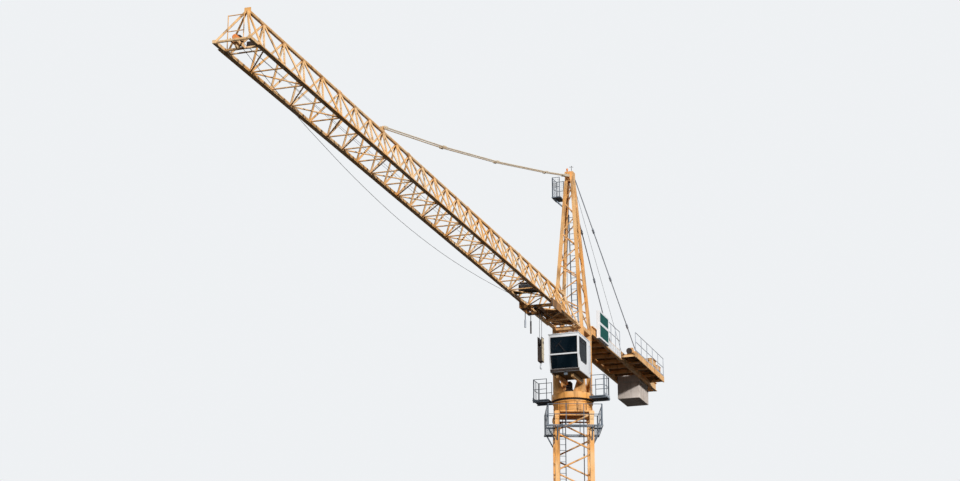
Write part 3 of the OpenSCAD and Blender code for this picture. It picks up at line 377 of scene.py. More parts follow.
def makeLight(setup):
    for name in ("key", "front", "back"):
        makeSun(name + "Light", setup[name])
    world = bpy.data.worlds.new("studio")
    bpy.context.scene.world = world
    world.use_nodes = True
    tree = world.node_tree
    fill = tree.nodes["Background"]
    fill.inputs["Color"].default_value = (*setup["fillColour"], 1)
    height = tree.nodes.new("ShaderNodeSeparateXYZ")
    link(tree, tree.nodes.new("ShaderNodeTexCoord").outputs["Normal"], height.inputs["Vector"])
    sky = tree.nodes.new("ShaderNodeMapRange")
    sky.inputs["From Min"].default_value = -0.15
    sky.inputs["From Max"].default_value = 0.35
    sky.inputs["To Min"].default_value = setup["below"]
    sky.inputs["To Max"].default_value = setup["fill"]
    link(tree, height.outputs["Z"], sky.inputs["Value"])
    link(tree, sky.outputs["Result"], fill.inputs["Strength"])
    shown = tree.nodes.new("ShaderNodeBackground")
    shown.inputs["Color"].default_value = (*setup["backdrop"], 1)
    shown.inputs["Strength"].default_value = 1
    path = tree.nodes.new("ShaderNodeLightPath")
    seen = path.outputs["Is Camera Ray"]
    for ray in ("Is Transmission Ray", "Is Glossy Ray"):
        either = tree.nodes.new("ShaderNodeMath")
        either.operation = "MAXIMUM"
        link(tree, seen, either.inputs[0])
        link(tree, path.outputs[ray], either.inputs[1])
        seen = either.outputs["Value"]
    blend = tree.nodes.new("ShaderNodeMixShader")
    link(tree, seen, blend.inputs["Fac"])
    link(tree, fill.outputs["Background"], blend.inputs[1])
    link(tree, shown.outputs["Background"], blend.inputs[2])
    link(tree, blend.outputs["Shader"], tree.nodes["World Output"].inputs["Surface"])


floorSetup = {"radius": 170, "low": (0.93, 0.93, 0.92), "high": (0.97, 0.97, 0.96),
              "bounced": (0.02, 0.02, 0.02)}


def makeFloor(setup):
    bm = bmesh.new()
    bmesh.ops.create_circle(bm, cap_ends=True, segments=128, radius=setup["radius"])
    mesh = bpy.data.meshes.new("floor")
    bm.to_mesh(mesh)
    bm.free()
    floor = bpy.data.objects.new("floor", mesh)
    bpy.context.scene.collection.objects.link(floor)
    material, tree, shader = nodeTree("paleFloor")
    path = tree.nodes.new("ShaderNodeLightPath")
    shown = mixed(tree, noise(tree, scale=0.4, detail=3), setup["low"], setup["high"])
    colour = mixed(tree, path.outputs["Is Camera Ray"], setup["bounced"], shown)
    link(tree, colour, shader.inputs["Base Color"])
    shader.inputs["Roughness"].default_value = 0.95
    mesh.materials.append(material)


makeLight(lightSetup)
makeFloor(floorSetup)
print("stage made")


# Open gratings in place of the plain decks: a frame of flat bars with crossing bars inside it
def grating(bm, low, high, pitch, bar, thin=0.0):
    x0, y0, z0 = low
    x1, y1, z1 = high
    rim = bar * 1.6
    for a, b in (((x0, y0), (x1, y0 + rim)), ((x0, y1 - rim), (x1, y1)),
                 ((x0, y0 + rim), (x0 + rim, y1 - rim)), ((x1 - rim, y0 + rim), (x1, y1 - rim))):
        slab(bm, (*a, z0), (*b, z1))
    z0 = max(z0, z1 - thin) if thin else z0
    columns = max(2, round((x1 - x0) / pitch))
    for i in range(1, columns):
        x = x0 + (x1 - x0) * i / columns
        slab(bm, (x - bar / 2, y0 + rim, z0 + 0.001), (x + bar / 2, y1 - rim, z1 - 0.001))
    rows = max(2, round((y1 - y0) / pitch))
    for i in range(1, rows):
        y = y0 + (y1 - y0) * i / rows
        slab(bm, (x0 + rim, y - bar / 2, z0 + 0.002), (x1 - rim, y + bar / 2, z1 - 0.002))


platformSetup = {"pitch": 0.034, "bar": 0.005, "inner": 0.5453, "beamFromEnd": 0.06, "beamHalf": 0.02,
                 "beamDeep": 0.035}


def makePlatformGratings(setup):
    low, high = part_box("side_platforms")
    half, under = setup["beamHalf"], low.z - setup["beamDeep"]
    bm = bmesh.new()
    for s in (-1, 1):
        y0, y1 = sorted((s * setup["inner"], s * high.y))
        grating(bm, (low.x, y0, low.z), (high.x, y1, high.z), setup["pitch"], setup["bar"])
        for x in (low.x + setup["beamFromEnd"], high.x - setup["beamFromEnd"]):
            slab(bm, (x - half, y0, under), (x + half, y1, low.z))
    made = piece("platformGratings", bm, "darker_galvanised")
    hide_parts("side_platforms")


gallerySetup = {"outer": 0.72, "inner": 0.5003, "pitch": 0.05, "bar": 0.005, "frameDeep": 0.026,
                "barDeep": 0.007, "strut": 0.018, "strutDrop": 0.33, "beamHalf": 0.02, "beamDeep": 0.03}


def makeGalleryGrating(setup):
    outer, inner, half = setup["outer"], setup["inner"], setup["beamHalf"]
    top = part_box("gallery_railing")[0].z
    bottom = top - setup["frameDeep"]
    bm = bmesh.new()
    for a, b in (((-outer, -outer), (outer, -inner)), ((-outer, inner), (outer, outer)),
                 ((-outer, -inner), (-inner, inner)), ((inner, -inner), (outer, inner))):
        grating(bm, (*a, bottom), (*b, top), setup["pitch"], setup["bar"], setup["barDeep"])
    for quarter in range(4):
        start = len(bm.verts)
        for y in (-mastHalf, mastHalf):
            foot = (inner + 0.002, y, bottom - setup["strutDrop"])
            run(bm, [foot, (outer - 0.05, y, bottom - 0.012)], setup["strut"])
            slab(bm, (inner, y - half, bottom - setup["beamDeep"]), (outer - 0.01, y + half, bottom))
        turned(bm, radians(90 * quarter), start)
    turned(bm, mastTurn, 0)
    made = piece("galleryGrating", bm, "darker_galvanised", "tower")
    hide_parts("gallery_floor")


deckSetup = {"pitch": 0.0408, "bar": 0.005, "deep": 0.026, "gap": 0.006,
             "main": {"fields": 8, "from": -0.51, "to": -5.59, "side": (-0.34, 0.34), "top": deckTop},
             "walkway": {"fields": 4, "from": -3.3, "to": -6.45, "side": (0.444, 0.8297), "top": walkwayTop}}


def makeCounterDecks(setup):
    bm = bmesh.new()
    for deck in (setup["main"], setup["walkway"]):
        y0, y1 = deck["side"]
        bottom, top = deck["top"] - setup["deep"], deck["top"]
        step = (deck["from"] - deck["to"]) / deck["fields"]
        for i in range(deck["fields"]):
            x1 = deck["from"] - step * i
            x0 = x1 - step + setup["gap"]
            grating(bm, (x0, y0, bottom), (x1, y1, top), setup["pitch"], setup["bar"])
    # The gratings' dark greasy ochre is partly grease and partly painted shade for the decks' undersides
    made = piece("counterDeckGratings", bm, "greasy_ochre_and_shade")
    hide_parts("counter_jib_deck")


makePlatformGratings(platformSetup)
makeGalleryGrating(gallerySetup)
makeCounterDecks(deckSetup)
print("gratings made")


# Hexagon bolts
def boltHead(bm, place, axis, radius, height):
    axis = Vector(axis).normalized()
    tube(bm, place, Vector(place) + axis * height, radius, 6)


mastBolts = {"bolt": (0.011, 0.014), "columns": (-0.036, 0.036), "rows": (-0.045, 0.045), "sections": 6,
             "face": 0.067}


def makeMastBolts(setup):
    bm = bmesh.new()
    face = mastHalf + setup["face"]
    for level in range(1, setup["sections"]):
        z = mastFoot + level * sectionPitch
        for sx in (-1, 1):
            for sy in (-1, 1):
                for dz in setup["rows"]:
                    for shift in setup["columns"]:
                        boltHead(bm, (sx * face, sy * mastHalf + shift, z + dz), (sx, 0, 0), *setup["bolt"])
                        boltHead(bm, (sx * mastHalf + shift, sy * face, z + dz), (0, sy, 0), *setup["bolt"])
    turned(bm, mastTurn, 0)
    piece("mastBolts", bm, "dark_steel", "tower")


# Round the slewing ring: the circle and level of the bolts that stand still and of those that turn
ringBolts = {"count": 60, "bolt": (0.009, 0.016), "still": (0.500, 13.2322), "turning": (0.515, 13.2855)}


def makeRingBolts(setup):
    rings = (("supportRingBolts", "still", 1, "tower"), ("turntableRingBolts", "turning", -1, "upper"))
    for name, key, up, body in rings:
        radius, level = setup[key]
        bm = bmesh.new()
        for x, y in circle(radius, setup["count"]):
            boltHead(bm, (x, y, level), (0, 0, up), *setup["bolt"])
        piece(name, bm, "dark_steel", body)


makeMastBolts(mastBolts)
makeRingBolts(ringBolts)
print("bolts made")


# Sign board: a thick white case with two bare green fields
signSetup = {"rim": 0.05, "split": 0.54, "band": 0.07, "recess": 0.006, "frameDeep": 0.012}


def makeSign(setup):
    low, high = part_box("sign_board")
    rim, band = setup["rim"], setup["band"]
    middle = low.z + (high.z - low.z) * setup["split"]
    back = high.y - setup["frameDeep"]
    bm = bmesh.new()
    slab(bm, (low.x, low.y, low.z), (high.x, back, high.z), 0.004)
    slab(bm, (low.x, back, low.z), (low.x + rim, high.y, high.z), 0.003)
    slab(bm, (high.x - rim, back, low.z), (high.x, high.y, high.z), 0.003)
    for a, b in ((high.z - rim, high.z), (middle - band / 2, middle + band / 2), (low.z, low.z + rim)):
        slab(bm, (low.x + rim, back, a), (high.x - rim, high.y, b), 0.002)
    made = piece("signCase", bm, "white_paint")
    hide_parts("sign_board")
    bm = bmesh.new()
    for a, b in ((low.z + rim, middle - band / 2), (middle + band / 2, high.z - rim)):
        slab(bm, (low.x + rim, back, a), (high.x - rim, high.y - setup["recess"], b))
    piece("signFields", bm, "green_paint")


# Bare plate on the side of the main beam, with its upright ribs
plateSetup = {"start": -3.25, "length": 1.30, "low": 0.02, "high": 0.22, "back": 0.4305, "face": 0.438,
              "ribs": 7, "ribFromEnd": 0.05}


def makeBeamPlate(setup):
    bm = bmesh.new()
    bottom, top, face = jibLevel + setup["low"], jibLevel + setup["high"], setup["face"]
    start, length, fromEnd = setup["start"], setup["length"], setup["ribFromEnd"]
    slab(bm, (start, setup["back"], bottom), (start + length, face, top), 0.002)
    for i in range(setup["ribs"]):
        x = start + fromEnd + (length - 2 * fromEnd) * i / (setup["ribs"] - 1)
        slab(bm, (x - 0.008, face, bottom), (x + 0.008, face + 0.006, top))
    piece("beamPlate", bm, "white_paint")


makeSign(signSetup)
makeBeamPlate(plateSetup)
print("boards made")


# A smooth curve through the points
def smoothPath(points, steps):
    points = [Vector(p) for p in points]
    full = [2 * points[0] - points[1]] + points + [2 * points[-1] - points[-2]]
    path = []
    for i in range(1, len(full) - 2):
        p0, p1, p2, p3 = full[i - 1:i + 3]
        for k in range(steps):
            t = k / steps
            path.append(0.5 * ((2 * p1) + (p2 - p0) * t + (2 * p0 - 5 * p1 + 4 * p2 - p3) * t * t
                               + (3 * p1 - p0 - 3 * p2 + p3) * t ** 3))
    path.append(points[-1])
    return path


# Hoisting rope: slack under the jib, then up over the head's sheave and down to the drum
# Heights along the sag are above the jib's level, and the wrap is the rope's radius on the sheave
hoistRopeSetup = {"radius": 0.0045, "wrap": 0.081, "wrapFrom": 158, "wrapStep": -15, "drumRise": 0.136,
                  "back": (-0.08, 0.03), "guide": (0.46, 0.10),
                  "sag": [(20.56, 0.03, 0.02), (18.212, 0.03, -0.389), (16.5, 0.03, -0.585),
                          (14.772, 0.03, -0.729), (12.559, 0.03, -0.822), (10.129, 0.03, -0.789),
                          (7.6, 0.03, -0.63), (4.84, 0.03, -0.362), (3.3, 0.03, -0.2), (0.7, 0.03, -0.06)]}


def makeHoistRope(setup):
    bm = bmesh.new()
    radius, wrap = setup["radius"], setup["wrap"]
    sag = [(x, y, z + jibLevel) for x, y, z in setup["sag"]]
    run(bm, smoothPath(sag, 4), radius)
    backX, backRise = setup["back"]
    run(bm, [(drumX, 0, drumZ + setup["drumRise"]), (backX, 0, headSheaveZ + backRise)], radius)
    turns = [radians(setup["wrapFrom"] + setup["wrapStep"] * k) for k in range(11)]
    over = [(wrap * cos(a), 0, headSheaveZ + wrap * sin(a)) for a in turns]
    run(bm, over, radius)
    guideX, guideRise = setup["guide"]
    run(bm, [over[-1], (guideX, 0, jibLevel + guideRise), sag[-1]], radius)
    piece("hoistRope", bm, "wire_rope")


# Trolley rope: two runs from the winch to the nose, as place, share of its side and rise above the jib
trolleyRopeSetup = {"radius": 0.0035, "sides": (-0.09, 0.05),
                    "path": ((3.87, 1.0, 0.225), (9.0, 0.7, 0.14), (14.5, 0.4, 0.115), (20.56, 0.0, 0.12))}


def makeTrolleyRope(setup):
    bm = bmesh.new()
    for side in setup["sides"]:
        sagged = [(x, side * share, jibLevel + rise) for x, share, rise in setup["path"]]
        run(bm, smoothPath(sagged, 5), setup["radius"], 6)
    piece("trolleyRope", bm, "wire_rope")


makeHoistRope(hoistRopeSetup)
makeTrolleyRope(trolleyRopeSetup)
print("ropes made")


# Cab: its faces and the windows' edges, which all its fittings follow
cabSetup = {"rake": 0.09, "pillar": 0.044, "split": 0.54, "windowDrop": 0.07, "windowBack": 0.68,
            "windowLow": 0.28}
(cabBack, cabRight, cabFloor), (cabFront, cabLeft, cabRoof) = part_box("cab_shell")
cabToe = cabFront - cabSetup["rake"]
cabSplit = cabRoof - (cabRoof - cabFloor) * cabSetup["split"]
windowBack = cabFront - (cabFront - cabBack) * cabSetup["windowBack"]
windowLow = cabFloor + (cabRoof - cabFloor) * cabSetup["windowLow"]
windowTop = cabRoof - cabSetup["windowDrop"]
seatX, seatY = cabBack + 0.52, (cabLeft + cabRight) / 2


gasketSetup = {"radius": 0.007, "proud": 0.004, "sill": 0.08, "slopeFoot": 0.06, "corner": 0.06,
               "frontLap": 0.016}


def makeCabGaskets(setup):
    bm = bmesh.new()
    radius, proud, corner, pillar = setup["radius"], setup["proud"], setup["corner"], cabSetup["pillar"]

    def outline(points):
        run(bm, points + [points[0]], radius, 6)

    x, edge, sill = cabFront - proud, pillar / 2, cabFloor + setup["sill"]
    fall = (cabSplit - sill) / (cabSplit - cabFloor - setup["slopeFoot"])
    sillX = cabFront - cabSetup["rake"] * fall - proud
    y0, y1 = cabRight + pillar, cabLeft - pillar
    outline([(x, y0, cabSplit + edge), (x, y1, cabSplit + edge), (x, y1, windowTop), (x, y0, windowTop)])
    outline([(sillX, y0, sill), (sillX, y1, sill), (x, y1, cabSplit - edge), (x, y0, cabSplit - edge)])
    toe, ahead = cabToe - pillar, cabFront - pillar - setup["frontLap"]
    for y in (cabLeft - proud, cabRight + proud):
        outline([(windowBack + corner, y, windowLow), (toe - corner, y, windowLow),
                 (toe, y, windowLow + corner), (ahead, y, cabSplit), (ahead, y, windowTop),
                 (windowBack, y, windowTop), (windowBack, y, windowLow + corner)])
        run(bm, [(windowBack, y, windowTop - 0.09), (ahead, y, windowTop - 0.11)], radius, 6)
    piece("cabGaskets", bm, "dark_steel")


# Skirt and floor pan, and above them the roof's lid, the door leaf and an air unit
casingSetup = {"skirt": 0.07, "pan": 0.012, "panIn": 0.03, "lid": 0.024, "lidOut": 0.014, "brow": 0.022,
               "door": (0.20, 0.56), "unit": ((0.25, 0.20), (0.62, 0.58)), "unitHigh": 0.09}


def makeCabCasing(setup):
    half, pan, panIn, out = 0.012, setup["pan"], setup["panIn"], setup["lidOut"]
    bm = bmesh.new()
    # The skirt and the floor pan are dark steel as painted shade for the cab's shaded underside
    slab(bm, (cabToe - half, cabRight + half, cabFloor + 0.008),
         (cabToe + half, cabLeft - half, cabFloor + setup["skirt"]), 0.004)
    slab(bm, (cabBack + 0.06, cabRight + panIn, cabFloor - pan),
         (cabToe - panIn, cabLeft - panIn, cabFloor), 0.003)
    piece("cabSkirt", bm, "dark_steel")
    bm = bmesh.new()
    lidTop = cabRoof + setup["lid"]
    y0, y1 = (cabRight + y for y in setup["door"])
    (unitX0, unitY0), (unitX1, unitY1) = setup["unit"]
    slab(bm, (cabBack - 0.01, cabRight - out, cabRoof),
         (cabFront + setup["brow"], cabLeft + out, lidTop), 0.007)
    slab(bm, (cabBack - 0.012, y0, cabFloor + 0.05), (cabBack, y1, cabRoof - 0.08), 0.004)
    slab(bm, (cabBack + unitX0, cabRight + unitY0, lidTop),
         (cabBack + unitX1, cabRight + unitY1, cabRoof + setup["unitHigh"]), 0.012)
    piece("cabRoofAndDoor", bm, "white_paint")


# Grab rail at the side, and the pull on the door
grabSetup = {"radius": 0.008, "x": 0.1, "out": 0.035, "fromEnd": 0.12, "pull": 0.007, "pullY": 0.5}


def makeCabRails(setup):
    bm = bmesh.new()
    x, y = cabBack + setup["x"], cabLeft + setup["out"]
    bottom, top = cabFloor + setup["fromEnd"], cabRoof - setup["fromEnd"]
    run(bm, [(x, cabLeft, top), (x, y, top), (x, y, bottom), (x, cabLeft, bottom)], setup["radius"])
    near, far, y = cabBack - 0.012, cabBack - 0.04, cabRight + setup["pullY"]
    bottom, top = cabFloor + 0.38, cabFloor + 0.5
    run(bm, [(near, y, top), (far, y, top), (far, y, bottom), (near, y, bottom)], setup["pull"])
    piece("cabGrabRails", bm, "galvanised")


# Two consoles with levers beside the seat, and a small screen on an arm
controlSetup = {"side": 0.2, "behind": 0.08, "ahead": 0.20, "half": 0.05, "top": 0.30, "lever": 0.009,
                "knob": 0.02}


def makeCabControls(setup):
    bm = bmesh.new()
    half, top = setup["half"], cabFloor + setup["top"]
    for y in (seatY - setup["side"], seatY + setup["side"]):
        slab(bm, (seatX - setup["behind"], y - half, cabFloor + 0.024),
             (seatX + setup["ahead"], y + half, top), 0.01)
        run(bm, [(seatX + 0.12, y, top), (seatX + 0.13, y, top + 0.09)], setup["lever"])
        place = Matrix.Translation((seatX + 0.13, y, top + 0.10))
        bmesh.ops.create_uvsphere(bm, u_segments=12, v_segments=8, radius=setup["knob"], matrix=place)
    x, y, z = cabFront - 0.205, cabLeft - 0.15, cabFloor + 0.5
    slab(bm, (x - 0.015, y - 0.05, z), (x + 0.015, y + 0.05, z + 0.12), 0.008)
    run(bm, [(x, y, z), (x, y + 0.05, z - 0.1), (x - 0.075, y + 0.12, z - 0.15)], 0.008)
    piece("cabControls", bm, "dark_steel")


# Dark lining on the walls, the ceiling and the floor
liningSetup = {"wall": 0.026, "thick": 0.006, "pad": 0.008, "gap": 0.004, "clear": 0.012, "soften": 0.002}


def makeCabLining(setup):
    wall, pad, clear, soften = setup["wall"], setup["pad"], setup["clear"], setup["soften"]
    back, right, floor = cabBack + wall, cabRight + wall, cabFloor + wall
    left, roof = cabLeft - wall, cabRoof - wall
    bm = bmesh.new()
    for y0, y1 in ((right, right + setup["thick"]), (left - setup["thick"], left)):
        slab(bm, (back, y0, floor + 0.010), (cabToe - 0.03, y1, windowLow - clear), soften)
        slab(bm, (back, y0, windowLow - clear), (windowBack - clear, y1, roof - setup["gap"]), soften)
    slab(bm, (back, right + pad, floor + clear), (back + pad, left - pad, roof - setup["gap"]), soften)
    slab(bm, (back, right, roof - 0.010), (cabFront - cabSetup["pillar"], left, roof - 0.002), soften)
    slab(bm, (back, right, floor), (cabToe - 0.02, left, floor + pad), soften)
    piece("cabLining", bm, "seat_fabric")


# Work lamp under the front, and the wiper, whose places are measured from the middle of the front's bar
wiperSetup = {"pivot": (0.012, 0.05, 0.035), "armTip": (0.014, -0.13, 0.27), "arm": 0.006, "blade": 0.005,
              "bladeEnds": ((0.006, -0.2, 0.2), (0.006, -0.06, 0.34))}


def makeLampAndWiper(setup):
    bm = bmesh.new()
    slab(bm, (cabToe - 0.09, seatY - 0.045, cabFloor - 0.085),
         (cabToe - 0.05, seatY + 0.045, cabFloor - 0.012), 0.010)
    piece("cabLamps", bm, "darker_galvanised")
    bm = bmesh.new()
    centre = Vector((cabFront, seatY, cabSplit))
    pivot = centre + Vector(setup["pivot"])
    run(bm, [(cabFront - 0.01, *pivot[1:]), pivot, centre + Vector(setup["armTip"])], setup["arm"])
    run(bm, [centre + Vector(end) for end in setup["bladeEnds"]], setup["blade"])
    piece("cabWiper", bm, "dark_steel")


makeCabGaskets(gasketSetup)
makeCabCasing(casingSetup)
makeCabRails(grabSetup)
makeCabControls(controlSetup)
makeCabLining(liningSetup)
makeLampAndWiper(wiperSetup)
print("cab dressed")


# Counterweight slabs with softened edges, a grip notch and lifting eyes
slabSetup = {"count": 3, "thick": 0.34, "gap": 0.01, "half": 0.32, "soften": 0.014, "notch": 0.03,
             "grip": 0.62, "head": 0.08, "headHalf": 0.372, "eye": 0.028, "eyes": (-0.2, 0.2)}


def makeSlabs(setup):
    low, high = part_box("counterweights")
    beamTop = high.z - setup["head"]
    grip = low.z + (beamTop - low.z) * setup["grip"]
    notch, half, wide, eye = grip - setup["notch"], setup["half"], setup["headHalf"], setup["eye"]
    slabs, eyes = bmesh.new(), bmesh.new()
    for i in range(setup["count"]):
        x1 = high.x - i * (setup["thick"] + setup["gap"])
        x0 = x1 - setup["thick"]
        slab(slabs, (x0, -half, low.z), (x1, half, notch), setup["soften"])
        slab(slabs, (x0 + 0.012, 0.02 - half, notch), (x1 - 0.012, half - 0.02, grip))
        slab(slabs, (x0, -half, grip), (x1, half, beamTop), setup["soften"])
        slab(slabs, (x0 + 0.08, -wide, beamTop), (x1 - 0.08, wide, high.z), 0.006)
        for y in setup["eyes"]:
            middle, foot = (x0 + x1) / 2, high.z - 0.004
            turns = [radians(30 * k) for k in range(7)]
            run(eyes, [(middle - eye * cos(a), y, foot + 1.5 * eye * sin(a)) for a in turns], 0.006, 6)
    made = piece("counterSlabs", slabs, "concrete")
    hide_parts("counterweights")
    piece("slabEyes", eyes, "dark_steel")


# The rope's turns on the drums of both winches
drumSetup = {"turns": 26, "half": 0.195, "radius": 0.137, "cover": 0.8,
             "smallTurns": 18, "smallX": 3.87, "smallDrop": 0.13, "smallHalf": 0.15, "smallRadius": 0.079}


def makeDrums(setup):
    bm = bmesh.new()
    step = 2 * setup["half"] / setup["turns"]
    for i in range(setup["turns"]):
        y = -setup["half"] + step * i
        tube(bm, (drumX, y, drumZ), (drumX, y + step * setup["cover"], drumZ), setup["radius"], 32)
    x, z = setup["smallX"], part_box("trolley_winch")[1].z - setup["smallDrop"]
    for i in range(setup["smallTurns"]):
        y = setup["smallHalf"] * (2 * i / setup["smallTurns"] - 1)
        tube(bm, (x, y, z), (x, y + 0.013, z), setup["smallRadius"], 24)
    piece("drumTurns", bm, "wire_rope")


# Slewing motor: cooling rings, terminal box and the bolts of its flange
motorSetup = {"x": 0.310, "foot": 0.10, "fins": 9, "finRadius": 0.086, "finsHigh": 0.155, "bolts": 8,
              "boltCircle": 0.092, "bolt": (0.008, 0.010)}


def makeMotor(setup):
    bm = bmesh.new()
    x, low = setup["x"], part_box("slewing_motor")[0].z
    foot = low + setup["foot"]
    for i in range(setup["fins"]):
        z = foot + setup["finsHigh"] * i / (setup["fins"] - 1)
        tube(bm, (x, 0, z), (x, 0, z + 0.006), setup["finRadius"], 28)
    slab(bm, (x + 0.06, -0.04, foot + 0.03), (x + 0.125, 0.04, foot + 0.11), 0.005)
    for across, up in circle(setup["boltCircle"], setup["bolts"]):
        boltHead(bm, (x + across, up, foot - 0.01), (0, 0, 1), *setup["bolt"])
    piece("motorFins", bm, "dark_steel")


# Base: anchor studs and nuts through the foot plates
anchorSetup = {"reach": 1.386, "spread": (-0.155, 0.155), "plateTop": 0.026, "stud": 0.013, "studTop": 0.07,
               "nut": 0.024, "nutTop": 0.048}


def makeAnchors(setup):
    bm = bmesh.new()
    foot = setup["plateTop"]
    for k in range(4):
        start = len(bm.verts)
        for dx in setup["spread"]:
            for y in setup["spread"]:
                x = setup["reach"] + dx
                tube(bm, (x, y, foot), (x, y, setup["studTop"]), setup["stud"], 10)
                tube(bm, (x, y, foot), (x, y, setup["nutTop"]), setup["nut"], 6)
        turned(bm, mastTurn + radians(45 + 90 * k), start)
    piece("anchorBolts", bm, "dark_steel", "tower")


# Wire mesh on the basket of the head and the rails of the counter-jib
meshSetup = {"wire": 0.002, "pitch": 0.055, "basketHigh": 0.53, "basketFloor": 0.545, "deckHigh": 0.26,
             "deckRise": 0.25,
             "deckPanels": (((-5.0, -0.41), (-7.24, -0.41)), ((-7.28, -0.37), (-7.28, 0.37)))}


def meshPanel(bm, a, b, height, setup):
    a, b = Vector(a), Vector(b)
    up = Vector((0, 0, height))
    count = max(2, round((b - a).length / setup["pitch"]))
    for i in range(count + 1):
        p = a + (b - a) * i / count
        tube(bm, p, p + up, setup["wire"], 4)
    rows = max(2, round(height / setup["pitch"]))
    for j in range(rows + 1):
        tube(bm, a + up * j / rows, b + up * j / rows, setup["wire"], 4)


def makeMeshes(setup):
    bm = bmesh.new()
    low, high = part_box("head_basket")
    floor = high.z - setup["basketFloor"]
    x0, x1, y0, y1 = low.x + 0.012, high.x - 0.012, low.y + 0.012, high.y - 0.02
    for a, b in (((x0, y1), (x0, y0)), ((x0, y0), (x1, y0)), ((x1, y0), (x1, y1))):
        meshPanel(bm, (*a, floor), (*b, floor), setup["basketHigh"], setup)
    z = jibLevel + setup["deckRise"]
    for a, b in setup["deckPanels"]:
        meshPanel(bm, (*a, z), (*b, z), setup["deckHigh"], setup)
    piece("railingMesh", bm, "galvanised")


# Toe boards under the rails of the side platforms and of the walkway
toeSetup = {"high": 0.06, "thick": 0.003, "platform": (-0.09, 0.39), "platformSide": 0.967,
            "walkway": (-6.44, -3.31), "walkwaySide": 0.8325, "walkwayRise": 0.202}


def makeToeBoards(setup):
    bm = bmesh.new()
    thick, high = setup["thick"], setup["high"]
    x0, x1 = setup["platform"]
    y, z = setup["platformSide"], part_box("platform_railings")[0].z + 0.002
    for y0, y1 in ((-y - thick, -y), (y, y + thick)):
        slab(bm, (x0, y0, z), (x1, y1, z + high))
    x0, x1 = setup["walkway"]
    y, z = setup["walkwaySide"], jibLevel + setup["walkwayRise"]
    slab(bm, (x0, y, z), (x1, y + thick, z + high))
    piece("deckToeBoards", bm, "galvanised")


# Joint sleeves where the jib's sections meet, with the bolts on each
jointSetup = {"bays": (5, 10, 15, 20), "bay": 0.76, "half": 0.055, "chordX": 0.58, "outer": 0.036,
              "inner": 0.0298, "bolt": 0.011, "boltGap": 0.028, "apexX": 0.73, "sleeve": 0.043,
              "rim": 0.04, "rimBolt": 0.009}


def makeJibJoints(setup):
    bm = bmesh.new()
    half = setup["half"]
    for bay in setup["bays"]:
        x = setup["chordX"] + setup["bay"] * bay
        for s in (-1, 1):
            y = s * chordY
            y0, y1 = sorted((y - s * setup["outer"], y + s * setup["inner"]))
            slab(bm, (x - half, y0, jibLevel - 0.033), (x + half, y1, jibLevel + 0.036), 0.003)
            for place in (x - setup["boltGap"], x + setup["boltGap"]):
                tube(bm, (place, y, jibLevel + 0.03), (place, y, jibLevel + 0.050), setup["bolt"], 6)
        x = setup["apexX"] + setup["bay"] * bay
        tube(bm, (x - half, 0, apexZ), (x + half, 0, apexZ), setup["sleeve"], 12)
        for y, up in circle(setup["rim"], 6):
            tube(bm, (x - 0.02, y, apexZ + up), (x + 0.02, y, apexZ + up), setup["rimBolt"], 6)
    piece("jibJoints", bm, "ochre_paint")


# Supply cable down the mast, with two clips to each of the mast's sections
cableSetup = {"x": -0.37, "y": 0.30, "radius": 0.012, "low": 0.35, "high": 12.9, "clips": 11,
              "clipRise": 0.09, "clipBack": -0.421, "clipHalf": 0.02}


def makeCable(setup):
    bm = bmesh.new()
    x, y, half = setup["x"], setup["y"], setup["clipHalf"]
    run(bm, [(x, y, setup["low"]), (x, y, setup["high"])], setup["radius"])
    for i in range(1, setup["clips"] + 1):
        z = mastFoot + sectionPitch * i / 2 + setup["clipRise"]
        slab(bm, (setup["clipBack"], y - half, z - 0.012), (x + 0.014, y + half, z + 0.012))
    turned(bm, mastTurn, 0)
    piece("supplyCable", bm, "dark_steel", "tower")


# Lamp and wind gauge on the head
headSetup = {"x": 0.055, "y": 0.06, "pole": 0.007, "poleHigh": 0.11, "arm": 0.045, "armRise": 0.105,
             "cup": 0.011, "lamp": 0.026, "lampHigh": 0.05}


def makeHeadLamp(setup):
    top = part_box("head_cap")[1].z
    bm = bmesh.new()
    x, y, rise = setup["x"], setup["y"], top + setup["armRise"]
    run(bm, [(x, y, top - 0.002), (x, y, top + setup["poleHigh"])], setup["pole"])
    for across, along in circle(setup["arm"], 3, radians(20)):
        tip = (x + across, y + along, rise)
        run(bm, [(x, y, rise), tip], 0.003, 6)
        place = Matrix.Translation(tip)
        bmesh.ops.create_uvsphere(bm, u_segments=8, v_segments=6, radius=setup["cup"], matrix=place)
    piece("windGauge", bm, "dark_steel")
    bm = bmesh.new()
    lampTop = top + setup["lampHigh"]
    tube(bm, (x, -y, top - 0.002), (x, -y, lampTop), setup["lamp"], 20)
    place = Matrix.Translation((x, -y, lampTop))
    bmesh.ops.create_uvsphere(bm, u_segments=16, v_segments=8, radius=setup["lamp"], matrix=place)
    piece("headLamp", bm, "orange_paint")


# Joint plates along the stays of the counter-jib, at shares of their length, with two pins in each
stayJoints = {"start": (-0.164, 0.094, 19.414), "end": (-5.85, 0.361, 15.52), "shares": (0.26, 0.51, 0.765),
              "size": (0.040, 0.055, 0.15), "pins": (-0.04, 0.04), "pin": 0.011, "pinHalf": 0.032}


def makeStayJoints(setup):
    bm = bmesh.new()
    size, pinHalf = Matrix.Diagonal((*setup["size"], 1)), Vector((0, setup["pinHalf"], 0))
    for s in (-1, 1):
        a, b = (Vector((x, s * y, z)) for x, y, z in (setup["start"], setup["end"]))
        along = (b - a).normalized()
        turn = along.to_track_quat("Z", "Y").to_matrix().to_4x4()
        for share in setup["shares"]:
            centre = a + (b - a) * share
            bmesh.ops.create_cube(bm, size=1, matrix=Matrix.Translation(centre) @ turn @ size)
            for pin in (centre + along * place for place in setup["pins"]):
                tube(bm, pin - pinHalf, pin + pinHalf, setup["pin"], 10)
    piece("stayJoints", bm, "galvanised")


